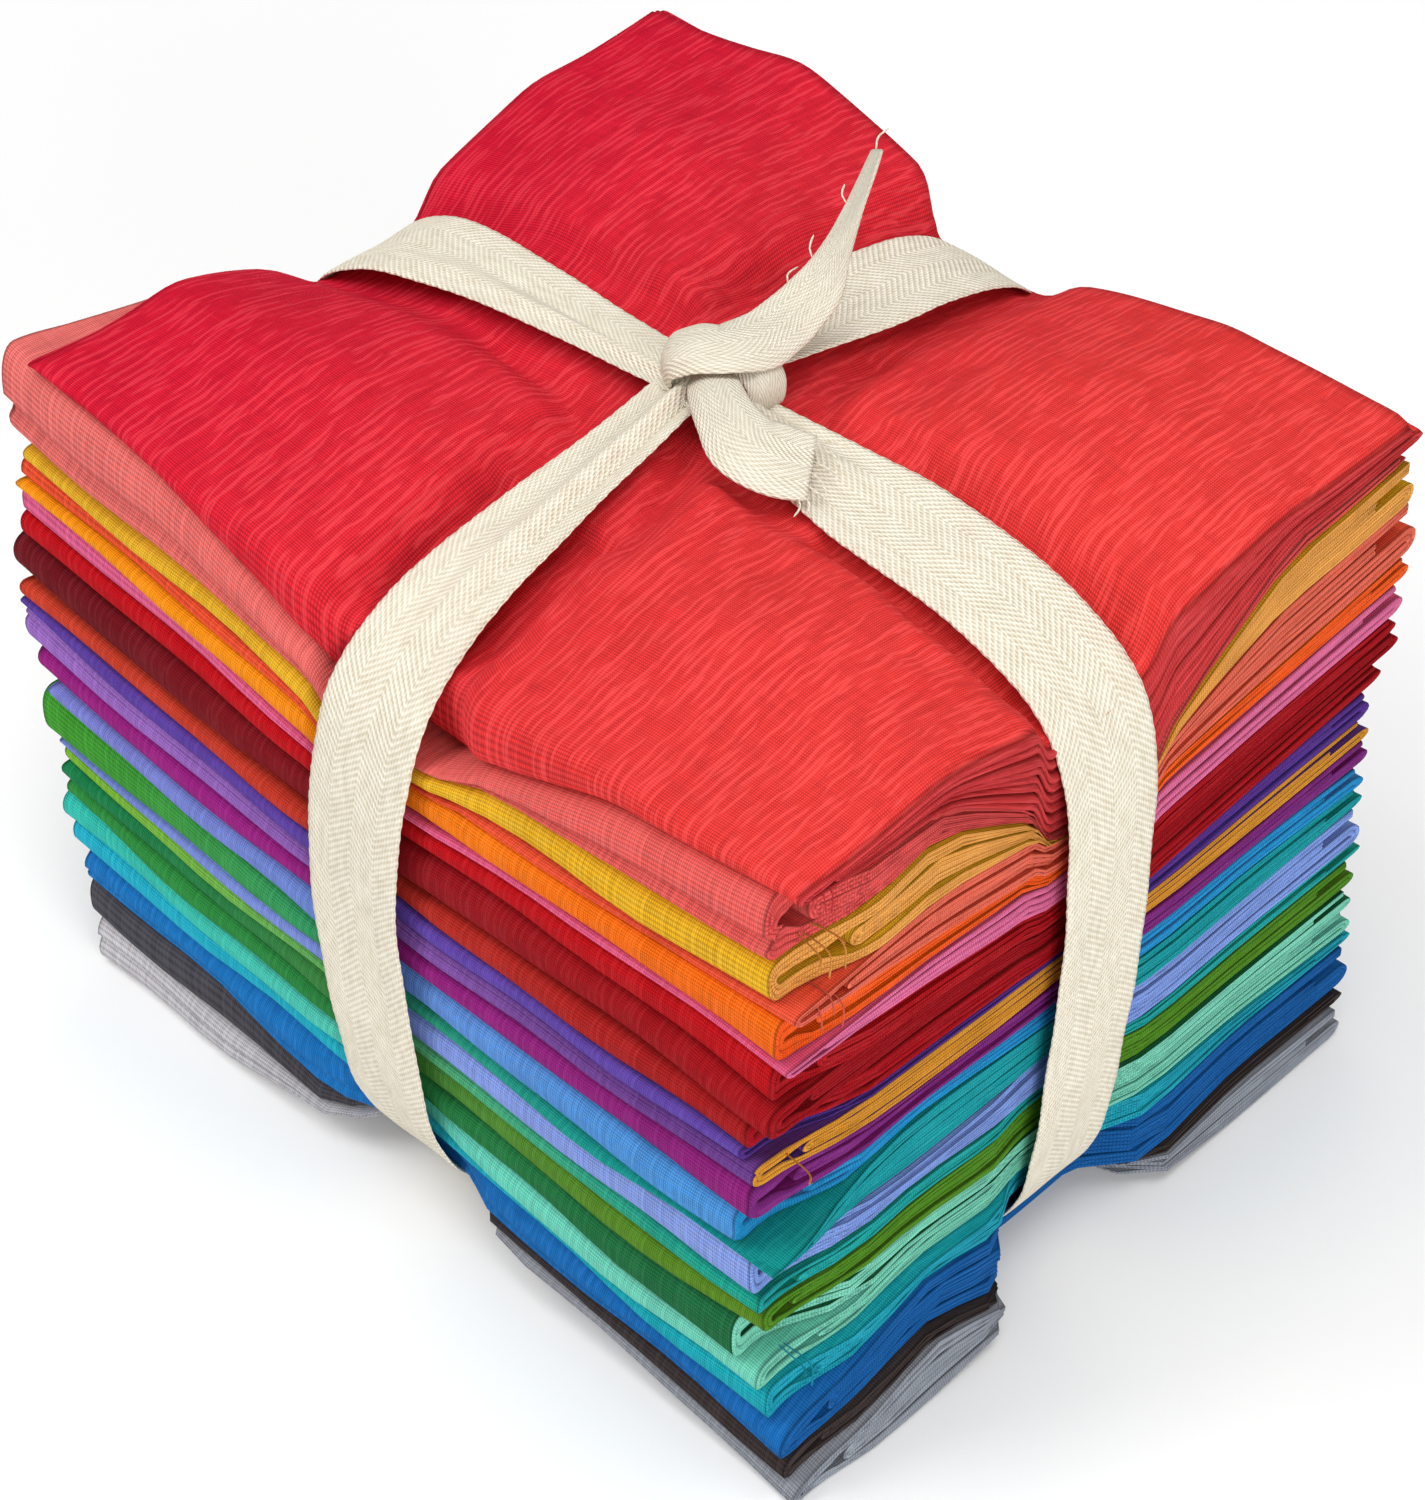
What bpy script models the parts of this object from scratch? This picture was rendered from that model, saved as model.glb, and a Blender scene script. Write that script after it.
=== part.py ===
"""A bundle of folded fat quarters of quilting cotton, tied both ways with twill tape.

Each fat quarter is a strip, 6 in wide, folded in half and in half again: its top and
bottom layers join in one round fold at the front left (-Y), and its two inner layers
nest inside them. The folded edges of the layers show as ridges at the front right (+X).
The tape presses a groove into the top and the bottom of the stack, both ways.

Metres, +Z up. The origin is at the bottom, in the middle of the part's box.
"""

import math
from collections import namedtuple

import bmesh
import bpy
import numpy as np
from mathutils import Matrix, Vector

MM = 0.001

# Driving sizes, in millimetres
STRIP_WIDTH = 152.0  # along X: 18 in of cloth, folded in thirds
FRONT_Y, BACK_Y = -63.4, 64.2  # the top packet's folded edge and its far edge
RIGHT_X = 76.6  # the top packet's right edge, at the front corner
BACK_SKEW_LEFT, BACK_SKEW_RIGHT = 1.6, -2.0  # how far its back corners lie along X from there
LOWEST_FLARE = 1.5  # how much further each edge of the lowest packet stands out
LEFT_SLIP = 0.7  # the share of a packet's slip that its left edge has
CENTRE_X, CENTRE_Y = -0.69, -1.12  # the middle of the whole part's box
GAP = 0.38  # between neighbours
LAYER_SHARE = 0.75  # a layer's thickness, as a share of the spacing of the layers
FOLD_REACH = 4.0  # how far the round fold stands beyond its layers' last knot

# The tape, which narrows where the knot draws it together
TAPE_COLOUR = "#E6DCC6"
TAPE_WIDTH, TAPE_THICKNESS = 18.2, 0.8
TAPE_WAIST, WAIST_REACH = 9.0, 34.0  # its width at the knot, and how far off it is full width
TAPE_CLEAR = 0.3  # from the cloth to the round that runs along X
SECOND_ROUND_CLEAR = 0.55  # and to the round along Y, which crosses over it
LONGEST_RUN = 13.0  # between two stations of a round
SHARPEST_BEND = math.radians(25)  # at one station of a round
ON_TOP = 100.0  # the height above which a round lies on top of the stack
EDGE_ALLOWANCE = 0.3  # for the layers' ends, which stand square to their slope
KNOT_CENTRE, KNOT_RADII, KNOT_TURN = (1.0, 2.2, 126.0), (10.5, 7.5, 5.2), 44.0
# The two free ends: where each runs, and the half width that lies across it there
BACK_TAIL = (
    # x, y, z, then the half width's x, y, z
    (2.0, 6.0, 125.5, 4.5, -3.5, 1.0),
    (3.5, 13.0, 129.5, 4.0, -2.0, 3.0),
    (1.0, 22.0, 134.5, 3.0, -0.5, 3.8),
    (-2.0, 30.0, 139.0, 1.8, 0.2, 3.4),
    (-5.6, 37.5, 143.0, 0.7, 0.2, 1.2),
)
FRONT_TAIL = (
    (-0.5, -1.0, 128.0, 3.0, 5.0, 0.0),
    (6.0, -4.5, 129.3, 2.6, 5.4, 0.0),
    (13.0, -6.0, 127.6, 1.6, 6.0, 0.2),
    (18.5, -5.2, 125.8, -0.8, 6.2, 0.3),
    (22.6, -3.9, 125.0, -2.7, 5.4, 0.2),
)

# The grooves' sides, where the tape that runs along X and along Y lies between them
GROOVE_ALONG_X = (-12.5, 7.5)
GROOVE_ALONG_Y = (-13.5, 9.5)

# The stack's sides under the tape: the place of each halfway up, and how far it is drawn
# in at the top and the bottom
TIED_SIDES = (
    # side, halfway up, drawn in
    ("left", -77.5, 5.0),
    ("right", 73.4, -4.0),
    ("front", -66.6, 6.0),
    ("back", 64.0, -5.0),
)
HALFWAY_UP, TO_FULLY_TIED = 60.0, 56.0
TIE_SHARPNESS = 6  # how late the tape starts to draw the sides in, on the way up or down

# Each packet, top to bottom: its colour, its thickness at the left corner, in the middle
# of the front left side, at the front corner and at the right corner, and how far it has
# slipped towards the left and the front. Millimetres.
Packet = namedtuple("Packet", "name colour left middle front right slip")
PACKETS = tuple(Packet(*row) for row in (
    # name, colour, left, middle, front, right, slip
    ("crimson", "#C4202F", 3.0, 5.0, 3.5, 3.2, 0.5),
    ("salmon", "#E0655F", 10.5, 6.8, 10.0, 5.8, 1.5),
    ("yellow", "#E0B02A", 3.3, 3.8, 8.0, 8.0, 2.3),
    ("red_orange", "#E05A38", 2.8, 2.8, 4.5, 9.5, 0.9),
    ("amber", "#F28A12", 2.8, 3.8, 6.0, 5.0, 2.2),
    ("pink", "#D8608C", 3.8, 2.8, 3.8, 6.0, 1.6),
    ("red", "#BE0A18", 5.4, 4.0, 5.0, 4.3, 2.2),
    ("maroon", "#7A0F18", 7.8, 6.7, 5.2, 4.3, 3.2),
    ("brick", "#B03024", 4.3, 5.5, 5.4, 4.3, 3.9),
    ("blue_violet", "#6045A8", 3.0, 3.5, 2.8, 4.6, 4.6),
    ("lilac", "#8355A6", 6.5, 4.7, 6.2, 5.0, 4.2),
    ("magenta", "#9A2080", 4.8, 4.1, 3.0, 5.0, 3.4),
    ("sky_blue", "#5F90D4", 3.1, 7.1, 6.0, 5.0, 4.6),
    ("green_teal", "#2A9A50", 8.5, 4.9, 5.0, 5.4, 3.9),
    ("periwinkle", "#7F95DD", 2.8, 4.7, 6.5, 7.1, 3.5),
    ("lime_teal", "#4AA460", 3.8, 2.8, 3.0, 4.0, 2.8),
    ("olive", "#3F8A28", 3.8, 5.6, 5.2, 5.5, 2.8),
    ("dark_green", "#267A40", 5.0, 4.8, 6.0, 4.0, 3.6),
    ("mint", "#5CCBB4", 3.9, 5.5, 5.0, 4.0, 2.6),
    ("teal", "#1CACC0", 5.6, 3.1, 5.0, 4.0, 1.8),
    ("blue", "#1870B8", 8.6, 8.5, 6.7, 9.5, 1.2),
    ("charcoal", "#403C40", 9.2, 4.5, 3.5, 2.8, 0.5),
    ("grey", "#A4A8AC", 10.4, 4.5, 8.0, 6.0, 0.6),
))
FINE_TOP, FINE_BOTTOM = 5, 4  # packets that follow the lobes, next to the top and the floor

# Heights of the stack's top and of its underside. The columns run from the left edge to
# the right along X, and the rows from the front left edge to the back along Y: an edge,
# a lobe, the groove's two sides, a lobe, an edge.
TOP_HEIGHTS = (
    (122.0, 119.0, 110.5, 110.5, 120.0, 122.0),
    (121.5, 124.5, 120.5, 120.5, 125.5, 123.0),
    (108.5, 117.0, 120.0, 120.0, 123.0, 115.0),
    (108.5, 117.0, 120.0, 120.0, 123.0, 115.0),
    (120.5, 124.0, 116.0, 116.0, 125.5, 122.5),
    (122.5, 123.0, 109.0, 109.0, 122.0, 123.0),
)
UNDER_HEIGHTS = (
    (0.0, 0.0, 7.5, 7.5, 1.5, 0.0),
    (0.0, 0.0, 4.2, 4.2, 0.0, 0.0),
    (5.5, 3.4, 3.0, 3.0, 3.2, 3.5),
    (5.5, 3.4, 3.0, 3.0, 3.2, 3.5),
    (0.0, 0.0, 3.2, 3.2, 0.0, 0.0),
    (0.0, 0.0, 5.0, 5.0, 0.0, 0.0),
)

EDGES_X = (-76.5, 75.0)  # where the tables' first and last knots lie
EDGES_Y = (-61.0, 63.5)
COARSE = (0, 2, 3, 5)  # the edges and the groove's sides, among the six knots
GROOVE_KNOTS = (2, 3)


def knots(edges, groove):
    """Six places across the stack: edge, lobe, two sides of the groove, lobe, edge."""
    (first, last), (low, high) = edges, groove
    return np.array([first, (low + first) / 2, low, high, (high + last) / 2, last])


KNOTS_X = knots(EDGES_X, GROOVE_ALONG_Y)
KNOTS_Y = knots(EDGES_Y, GROOVE_ALONG_X)


def linear_colour(code):
    """The linear RGBA value of a hex colour."""
    values = [int(code[i : i + 2], 16) / 255 for i in (1, 3, 5)]
    return [v / 12.92 if v < 0.04045 else ((v + 0.055) / 1.055) ** 2.4 for v in values] + [1.0]


def cloth_material(name, code):
    """Plain matt cloth of one colour."""
    made = bpy.data.materials.new(name)
    made.use_nodes = True
    shader = made.node_tree.nodes["Principled BSDF"]
    shader.inputs["Base Color"].default_value = linear_colour(code)
    shader.inputs["Roughness"].default_value = 0.9
    shader.inputs["Metallic"].default_value = 0.0
    return made


def midpoints_filled(heights):
    """A 6 x 6 table whose lobe knots lie halfway along the edges or the diagonals that
    run from the groove's corners to the stack's corners."""
    filled = np.array(heights, dtype=float)
    for lobe, inner, outer in ((1, 2, 0), (4, 3, 5)):
        for row in COARSE:
            filled[row, lobe] = (filled[row, inner] + filled[row, outer]) / 2
            filled[lobe, row] = (filled[inner, row] + filled[outer, row]) / 2
    for row, row_in, row_out in ((1, 2, 0), (4, 3, 5)):
        for col, col_in, col_out in ((1, 2, 0), (4, 3, 5)):
            filled[row, col] = (filled[row_in, col_in] + filled[row_out, col_out]) / 2
    return filled


def thickness_table(packet):
    """A packet's thickness at the 6 x 6 knots, from its values at the corners."""
    near_values = [packet.left, packet.middle, packet.middle, packet.front]
    near = np.interp(KNOTS_X, KNOTS_X[list(COARSE)], near_values)
    far = np.interp(KNOTS_X, EDGES_X, [(packet.left + packet.right) / 2, packet.right])
    share = np.interp(KNOTS_Y, EDGES_Y, [0.0, 1.0])[:, None]
    return near * (1 - share) + far * share


def layer_boundaries():
    """The heights of the 24 surfaces that bound the packets, from the top down."""
    top, under = np.array(TOP_HEIGHTS), np.array(UNDER_HEIGHTS) - GAP / 2
    plain_top, plain_under = midpoints_filled(top), midpoints_filled(under)
    tables = np.array([thickness_table(p) for p in PACKETS])
    depth = np.concatenate([np.zeros((1, 6, 6)), np.cumsum(tables, axis=0)]) / tables.sum(axis=0)
    surfaces = []
    for i, share in enumerate(depth):
        plain = midpoints_filled(plain_top + share * (plain_under - plain_top))
        near_top = max(0.0, 1 - i / FINE_TOP)
        near_floor = max(0.0, 1 - (len(PACKETS) - i) / FINE_BOTTOM)
        crests = near_top * (top - plain_top) + near_floor * (under - plain_under)
        surfaces.append(plain + crests)
    return surfaces


def outward_span(places, value):
    """The two knots that a value lies between, inner one first, and its share of the way."""
    cell = int(np.clip(np.searchsorted(places, value) - 1, 0, 4))
    inner, outer = (cell, cell + 1) if cell >= 2 else (cell + 1, cell)
    return inner, outer, (value - places[inner]) / (places[outer] - places[inner])


def height_at(table, x, y):
    """The table's height at a place, on the triangles between its knots and past its edges.

    The triangles meet along the diagonals that run out from the groove's corners.
    """
    col_in, col_out, s = outward_span(KNOTS_X, x)
    row_in, row_out, t = outward_span(KNOTS_Y, y)
    inner, outer = table[row_in, col_in], table[row_out, col_out]
    if s >= t:
        beside = table[row_in, col_out]
        return inner + s * (beside - inner) + t * (outer - beside)
    beside = table[row_out, col_in]
    return inner + t * (beside - inner) + s * (outer - beside)


def level_share(table, x, y):
    """The cosine of the table's steepest slope at a place: a slanting layer is thinner across."""
    here = height_at(table, x, y)
    slope_x = max(abs(height_at(table, x + step, y) - here) for step in (-1, 1))
    slope_y = max(abs(height_at(table, x, y + step) - here) for step in (-1, 1))
    return 1 / math.sqrt(1 + slope_x**2 + slope_y**2)


def tied_sides(z):
    """The left, right, front and back sides of the stack under the tape, at a height."""
    pull = min(1.0, abs(z - HALFWAY_UP) / TO_FULLY_TIED) ** TIE_SHARPNESS
    return [halfway_up + drawn_in * pull for _, halfway_up, drawn_in in TIED_SIDES]


def packet_sides(packet, z, tied, behind):
    """A packet's left, right, front and back edges, under the tape or away from it, in
    front of the tape that runs along X or behind it."""
    if tied:
        return tied_sides(z)
    flare = LOWEST_FLARE if packet is PACKETS[-1] else 0.0
    left = RIGHT_X - STRIP_WIDTH - packet.slip * LEFT_SLIP
    right = RIGHT_X + flare
    if behind:
        left += BACK_SKEW_LEFT
        right += BACK_SKEW_RIGHT
    else:
        right -= packet.slip
    return left, right, FRONT_Y - packet.slip - flare, BACK_Y + flare


def layer_pitch(high, low):
    """The spacing of a packet's four layers between the surfaces that bound it."""
    return (high - low - GAP) / (3 + LAYER_SHARE)


def packet_path(packet, x_index, upper, lower, columns):
    """The cloth's middle line in one section across X: points (x, y, z) and thicknesses.

    From the top layer's end at the back, round the front fold, back along the bottom
    layer, round the back fold, and out and back along the two inner layers. The layers'
    levels are 1.5, 0.5, -0.5 and -1.5 spacings from the packet's middle.
    """
    stations = []
    for row in [r for r in range(6) if r in columns]:
        high, low = upper[row, x_index], lower[row, x_index]
        middle, behind = (high + low) / 2, row >= 3
        left, right, _, _ = packet_sides(packet, middle, row in GROOVE_KNOTS, behind)
        _, _, front, back = packet_sides(packet, middle, x_index in GROOVE_KNOTS, behind)
        back -= layer_pitch(high, low) * (1 + LAYER_SHARE) / 2
        x = {0: left, 5: right}.get(x_index, KNOTS_X[x_index])
        y = {0: front + FOLD_REACH, 5: back}.get(row, KNOTS_Y[row])
        stations.append((x, y, height_at(upper, x, y), height_at(lower, x, y)))
    points, thicknesses = [], []

    def add(station, level, beyond=0.0):
        x, y, high, low = station
        pitch = layer_pitch(high, low)
        points.append((x, y + beyond, (high + low) / 2 + level * pitch))
        thicknesses.append(LAYER_SHARE * pitch * level_share(upper, x, y))

    front, back = stations[0], stations[-1]
    front_pitch, back_pitch = layer_pitch(*front[2:]), layer_pitch(*back[2:])
    for station in reversed(stations):
        add(station, 1.5)
    for angle in (45, 90, 135):
        turn = math.radians(angle)
        reach = FOLD_REACH - front_pitch * LAYER_SHARE / 2
        add(front, 1.5 * math.cos(turn), -reach * math.sin(turn))
    for station in stations:
        add(station, -1.5)
    add(back, -1.0, back_pitch / 2)
    for station in reversed(stations):
        add(station, -0.5)
    add(front, 0.0, -front_pitch / 2)
    for station in stations:
        add(station, 0.5)
    return points, thicknesses


def radial_triangles(bm, grid, rows, cols):
    """Triangles between the sections, split from the groove's corners to the stack's."""
    for i in range(len(grid) - 1):
        rising = cols[i] >= 3
        for j in range(len(grid[i]) - 1):
            a, b = grid[i][j], grid[i][j + 1]
            c, d = grid[i + 1][j + 1], grid[i + 1][j]
            inward = rows[j] > rows[j + 1]
            outer_row = min(rows[j], rows[j + 1]) >= 3
            a_to_c = (rising == outer_row) != inward
            if a_to_c:
                bm.faces.new((a, b, c))
                bm.faces.new((a, c, d))
            else:
                bm.faces.new((a, b, d))
                bm.faces.new((b, c, d))


def path_rows(columns):
    """The knot row of each point of a packet's path, with the folds at its ends."""
    down = [r for r in range(5, -1, -1) if r in columns]
    up = down[::-1]
    return down + [0, 0, 0] + up + [5] + down + [0] + up


def fat_quarter(index, surfaces):
    """One folded fat quarter: its folded sheet, thickened to the local layer's thickness."""
    packet = PACKETS[index]
    fine = index < FINE_TOP or index >= len(PACKETS) - FINE_BOTTOM
    columns = tuple(range(6)) if fine else COARSE
    name = f"fat_quarter_{index + 1:02d}_{packet.name}"
    sections = [
        packet_path(packet, c, surfaces[index], surfaces[index + 1], columns) for c in columns
    ]
    thickest = max(max(t) for _, t in sections)
    bm = bmesh.new()
    grid = [[bm.verts.new(in_metres(p)) for p in points] for points, _ in sections]
    radial_triangles(bm, grid, path_rows(columns), columns)
    mesh = bpy.data.meshes.new(name)
    bm.to_mesh(mesh)
    bm.free()
    made = bpy.data.objects.new(name, mesh)
    weights = made.vertex_groups.new(name="thickness")
    flat = [t for _, thicknesses in sections for t in thicknesses]
    for vertex, thickness in enumerate(flat):
        weights.add([vertex], thickness / thickest, "REPLACE")
    solid = made.modifiers.new("Cloth thickness", "SOLIDIFY")
    solid.thickness = thickest * MM
    solid.offset = 0.0
    solid.use_even_offset = True
    solid.vertex_group = "thickness"
    mesh.materials.append(cloth_material(f"cotton {packet.name}", packet.colour))
    return made


def outer_line(points):
    """The convex outline round some points in a plane, as a list that runs anticlockwise."""
    ordered = sorted(set(points))
    outline = []
    for part in (ordered, ordered[::-1]):
        start = len(outline)
        for x, z in part:
            while len(outline) - start > 1:
                (ax, az), (bx, bz) = outline[-2:]
                if (bx - ax) * (z - az) - (bz - az) * (x - ax) > 0:
                    break
                outline.pop()
            outline.append((x, z))
        outline.pop()
    return outline


def spaced_outward(outline, distance):
    """The outline moved outward by a distance, with a point or more round each corner."""
    moved = []
    for before, here, after in zip(outline[-1:] + outline[:-1], outline, outline[1:] + outline[:1]):
        start = math.atan2(here[0] - before[0], before[1] - here[1]) + math.pi
        end = math.atan2(after[0] - here[0], here[1] - after[1]) + math.pi
        turn = (end - start) % (2 * math.pi)
        steps = max(1, math.ceil(turn / SHARPEST_BEND))
        reach = distance / math.cos(turn / steps / 2)
        angles = [start + turn / 2]
        if steps > 1:
            angles = [start + turn * i / steps for i in range(steps + 1)]
        moved += [(here[0] + reach * math.cos(a), here[1] + reach * math.sin(a)) for a in angles]
    return moved


def groove_section(surfaces, along_x):
    """The stack's outline in the middle of a groove: points (along, height)."""
    points = []
    for upper, lower in zip(surfaces, surfaces[1:]):
        for knot_number, side in ((0, 0), (5, 1)):
            row, col = (2, knot_number) if along_x else (knot_number, 2)
            edge = tied_sides((upper[row, col] + lower[row, col]) / 2)[side + (0 if along_x else 2)]
            place = (edge, KNOTS_Y[2]) if along_x else (KNOTS_X[2], edge)
            outward = EDGE_ALLOWANCE * (2 * side - 1)
            points += [(edge + outward, height_at(table, *place)) for table in (upper, lower)]
    for table in (surfaces[0], surfaces[-1]):
        for i in range(1, 5):
            place = (KNOTS_X[i], table[2, i]) if along_x else (KNOTS_Y[i], table[i, 2])
            points.append(tuple(float(v) for v in place))
    return points


def subdivided(outline):
    """The closed outline with extra points, so that no run is longer than LONGEST_RUN."""
    filled = []
    for (ax, az), (bx, bz) in zip(outline, outline[1:] + outline[:1]):
        runs = math.ceil(math.hypot(bx - ax, bz - az) / LONGEST_RUN)
        filled += [(ax + (bx - ax) * i / runs, az + (bz - az) * i / runs) for i in range(runs)]
    return filled


def strip(name, centres, half_widths, closed):
    """A tape that runs through some places with a half width at each, as a thick sheet."""
    bm = bmesh.new()
    rows = []
    for centre, half in zip(centres, half_widths):
        sides = (centre - half, centre + half)
        rows.append([bm.verts.new(in_metres(side)) for side in sides])
    following = rows[1:] + rows[:1] if closed else rows[1:]
    for (a, b), (d, c) in zip(rows, following):
        bm.faces.new((a, b, c, d))
    mesh = bpy.data.meshes.new(name)
    bm.to_mesh(mesh)
    bm.free()
    made = bpy.data.objects.new(name, mesh)
    solid = made.modifiers.new("Tape thickness", "SOLIDIFY")
    solid.thickness = TAPE_THICKNESS * MM
    solid.offset = 0.0
    solid.use_even_offset = True
    made.modifiers.new("Flat faces, also where the tape twists", "TRIANGULATE")
    return made


def tape_round(name, surfaces, along_x, clear):
    """One round of tape: the groove's taut outline, with the waist at the knot on top."""
    outline = outer_line(groove_section(surfaces, along_x))
    path = subdivided(spaced_outward(outline, clear + TAPE_THICKNESS / 2))
    groove = GROOVE_ALONG_X if along_x else GROOVE_ALONG_Y
    middle = sum(groove) / 2
    centres, half_widths = [], []
    for along, height in path:
        share = min(1.0, abs(along) / WAIST_REACH) if height > ON_TOP else 1.0
        half = (TAPE_WAIST + (TAPE_WIDTH - TAPE_WAIST) * share) / 2
        centres.append(Vector((along, middle, height) if along_x else (middle, along, height)))
        half_widths.append(Vector((0, half, 0) if along_x else (half, 0, 0)))
    return strip(name, centres, half_widths, True)


def tail(name, stations):
    """One free end of the tape."""
    centres = [Vector(row[:3]) for row in stations]
    half_widths = [Vector(row[3:]) for row in stations]
    return strip(name, centres, half_widths, False)


def knot():
    """The bulk of the overhand knot."""
    bm = bmesh.new()
    bmesh.ops.create_uvsphere(bm, u_segments=16, v_segments=9, radius=1.0)
    bmesh.ops.scale(bm, vec=Vector(KNOT_RADII) * MM, verts=bm.verts)
    turn = Matrix.Rotation(math.radians(KNOT_TURN), 3, "Z")
    bmesh.ops.rotate(bm, matrix=turn, verts=bm.verts)
    bmesh.ops.translate(bm, vec=in_metres(KNOT_CENTRE), verts=bm.verts)
    mesh = bpy.data.meshes.new("knot")
    bm.to_mesh(mesh)
    bm.free()
    return bpy.data.objects.new("knot", mesh)


def twill_tape(surfaces, tools):
    """The tape in one piece: two rounds, the knot and two free ends, joined."""
    made = tape_round("twill_tape", surfaces, True, TAPE_CLEAR)
    joined = (
        tape_round("second round", surfaces, False, SECOND_ROUND_CLEAR),
        knot(),
        tail("back tail", BACK_TAIL),
        tail("front tail", FRONT_TAIL),
    )
    for piece in joined:
        tools.objects.link(piece)
        piece.hide_render = True
        piece.display_type = "WIRE"
        union = made.modifiers.new(f"Join the {piece.name}", "BOOLEAN")
        union.operation = "UNION"
        union.object = piece
    made.data.materials.append(cloth_material("cotton twill tape", TAPE_COLOUR))
    return made


def in_metres(point):
    """A place in millimetres on the stack, in metres from the part's origin."""
    x, y, z = point
    return Vector(((x - CENTRE_X) * MM, (y - CENTRE_Y) * MM, z * MM))


def build():
    """Clear the scene and build every piece into one collection."""
    for old in list(bpy.data.objects):
        bpy.data.objects.remove(old)
    bundle = bpy.data.collections.new("fat quarter bundle")
    tools = bpy.data.collections.new("joined pieces")
    for collection in (bundle, tools):
        bpy.context.scene.collection.children.link(collection)
    surfaces = layer_boundaries()
    for index in range(len(PACKETS)):
        bundle.objects.link(fat_quarter(index, surfaces))
    bundle.objects.link(twill_tape(surfaces, tools))


build()
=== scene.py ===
"""Looks of a bundle of folded fat quarters tied with twill tape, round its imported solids.

Sizes are millimetres on the stack: X along the front left edge, Y along the front right
edge and Z up from the surface. in_metres() moves a place to the model's own origin.
"""

import math
from collections import namedtuple

import bpy
import numpy as np
from mathutils import Matrix, Vector


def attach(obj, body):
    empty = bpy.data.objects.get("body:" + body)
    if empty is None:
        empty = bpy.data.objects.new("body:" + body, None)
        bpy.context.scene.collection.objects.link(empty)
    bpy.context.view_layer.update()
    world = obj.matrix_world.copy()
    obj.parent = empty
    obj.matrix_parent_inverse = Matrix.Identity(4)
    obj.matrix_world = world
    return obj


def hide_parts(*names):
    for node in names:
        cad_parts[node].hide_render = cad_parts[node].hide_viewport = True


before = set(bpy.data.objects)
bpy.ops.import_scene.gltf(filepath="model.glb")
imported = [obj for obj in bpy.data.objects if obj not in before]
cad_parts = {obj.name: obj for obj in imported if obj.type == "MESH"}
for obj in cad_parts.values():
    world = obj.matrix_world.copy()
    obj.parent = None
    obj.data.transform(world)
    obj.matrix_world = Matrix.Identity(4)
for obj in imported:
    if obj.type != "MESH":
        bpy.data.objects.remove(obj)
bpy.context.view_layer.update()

MM = 0.001

# The stack's own sizes, as its solids have them
STRIP_WIDTH = 152.0
FRONT_Y, BACK_Y = -63.4, 64.2
RIGHT_X = 76.6
BACK_SKEW_LEFT, BACK_SKEW_RIGHT = 1.6, -2.0
LEFT_SLIP = 0.7
CENTRE_X, CENTRE_Y = -0.69, -1.12
KNOTS_X = np.array([-76.5, -45.0, -13.5, 9.5, 42.25, 75.0])
KNOTS_Y = np.array([-61.0, -36.75, -12.5, 7.5, 35.5, 63.5])
TAPE_X, TAPE_Y = -2.0, -2.5  # the middle of the round along Y, and of the round along X
TAPE_WIDTH = 18.2
TAPE_HALF, TIE_REACH = 9.0, 11.0  # half the tape's width, and how far beside it the cloth is drawn in
BULGE_REACH = 30.0  # and how far where the tape lets it bulge out
HEIGHT_BLUR = 5.0  # how far either way the straight-line heights are averaged
TAPE_THICKNESS = 0.55
TAPE_POINTS = 25  # from selvedge to selvedge
SPACING = 0.16  # between two packets
THINNEST, TOP_THINNEST = 0.9, 2.2  # how thin a packet gets at a knot, and the top one
FINE_TOP, FINE_BOTTOM = 5, 4  # the packets that the lobes fade over, from the top and from below
PRESSED = 10  # the surfaces that the tape presses down
# How much higher up the tape's line the top packet's folds are held, so that they stay under it
TOP_FOLD_HELD = {"front": 3.5, "right": 2.8}

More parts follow.
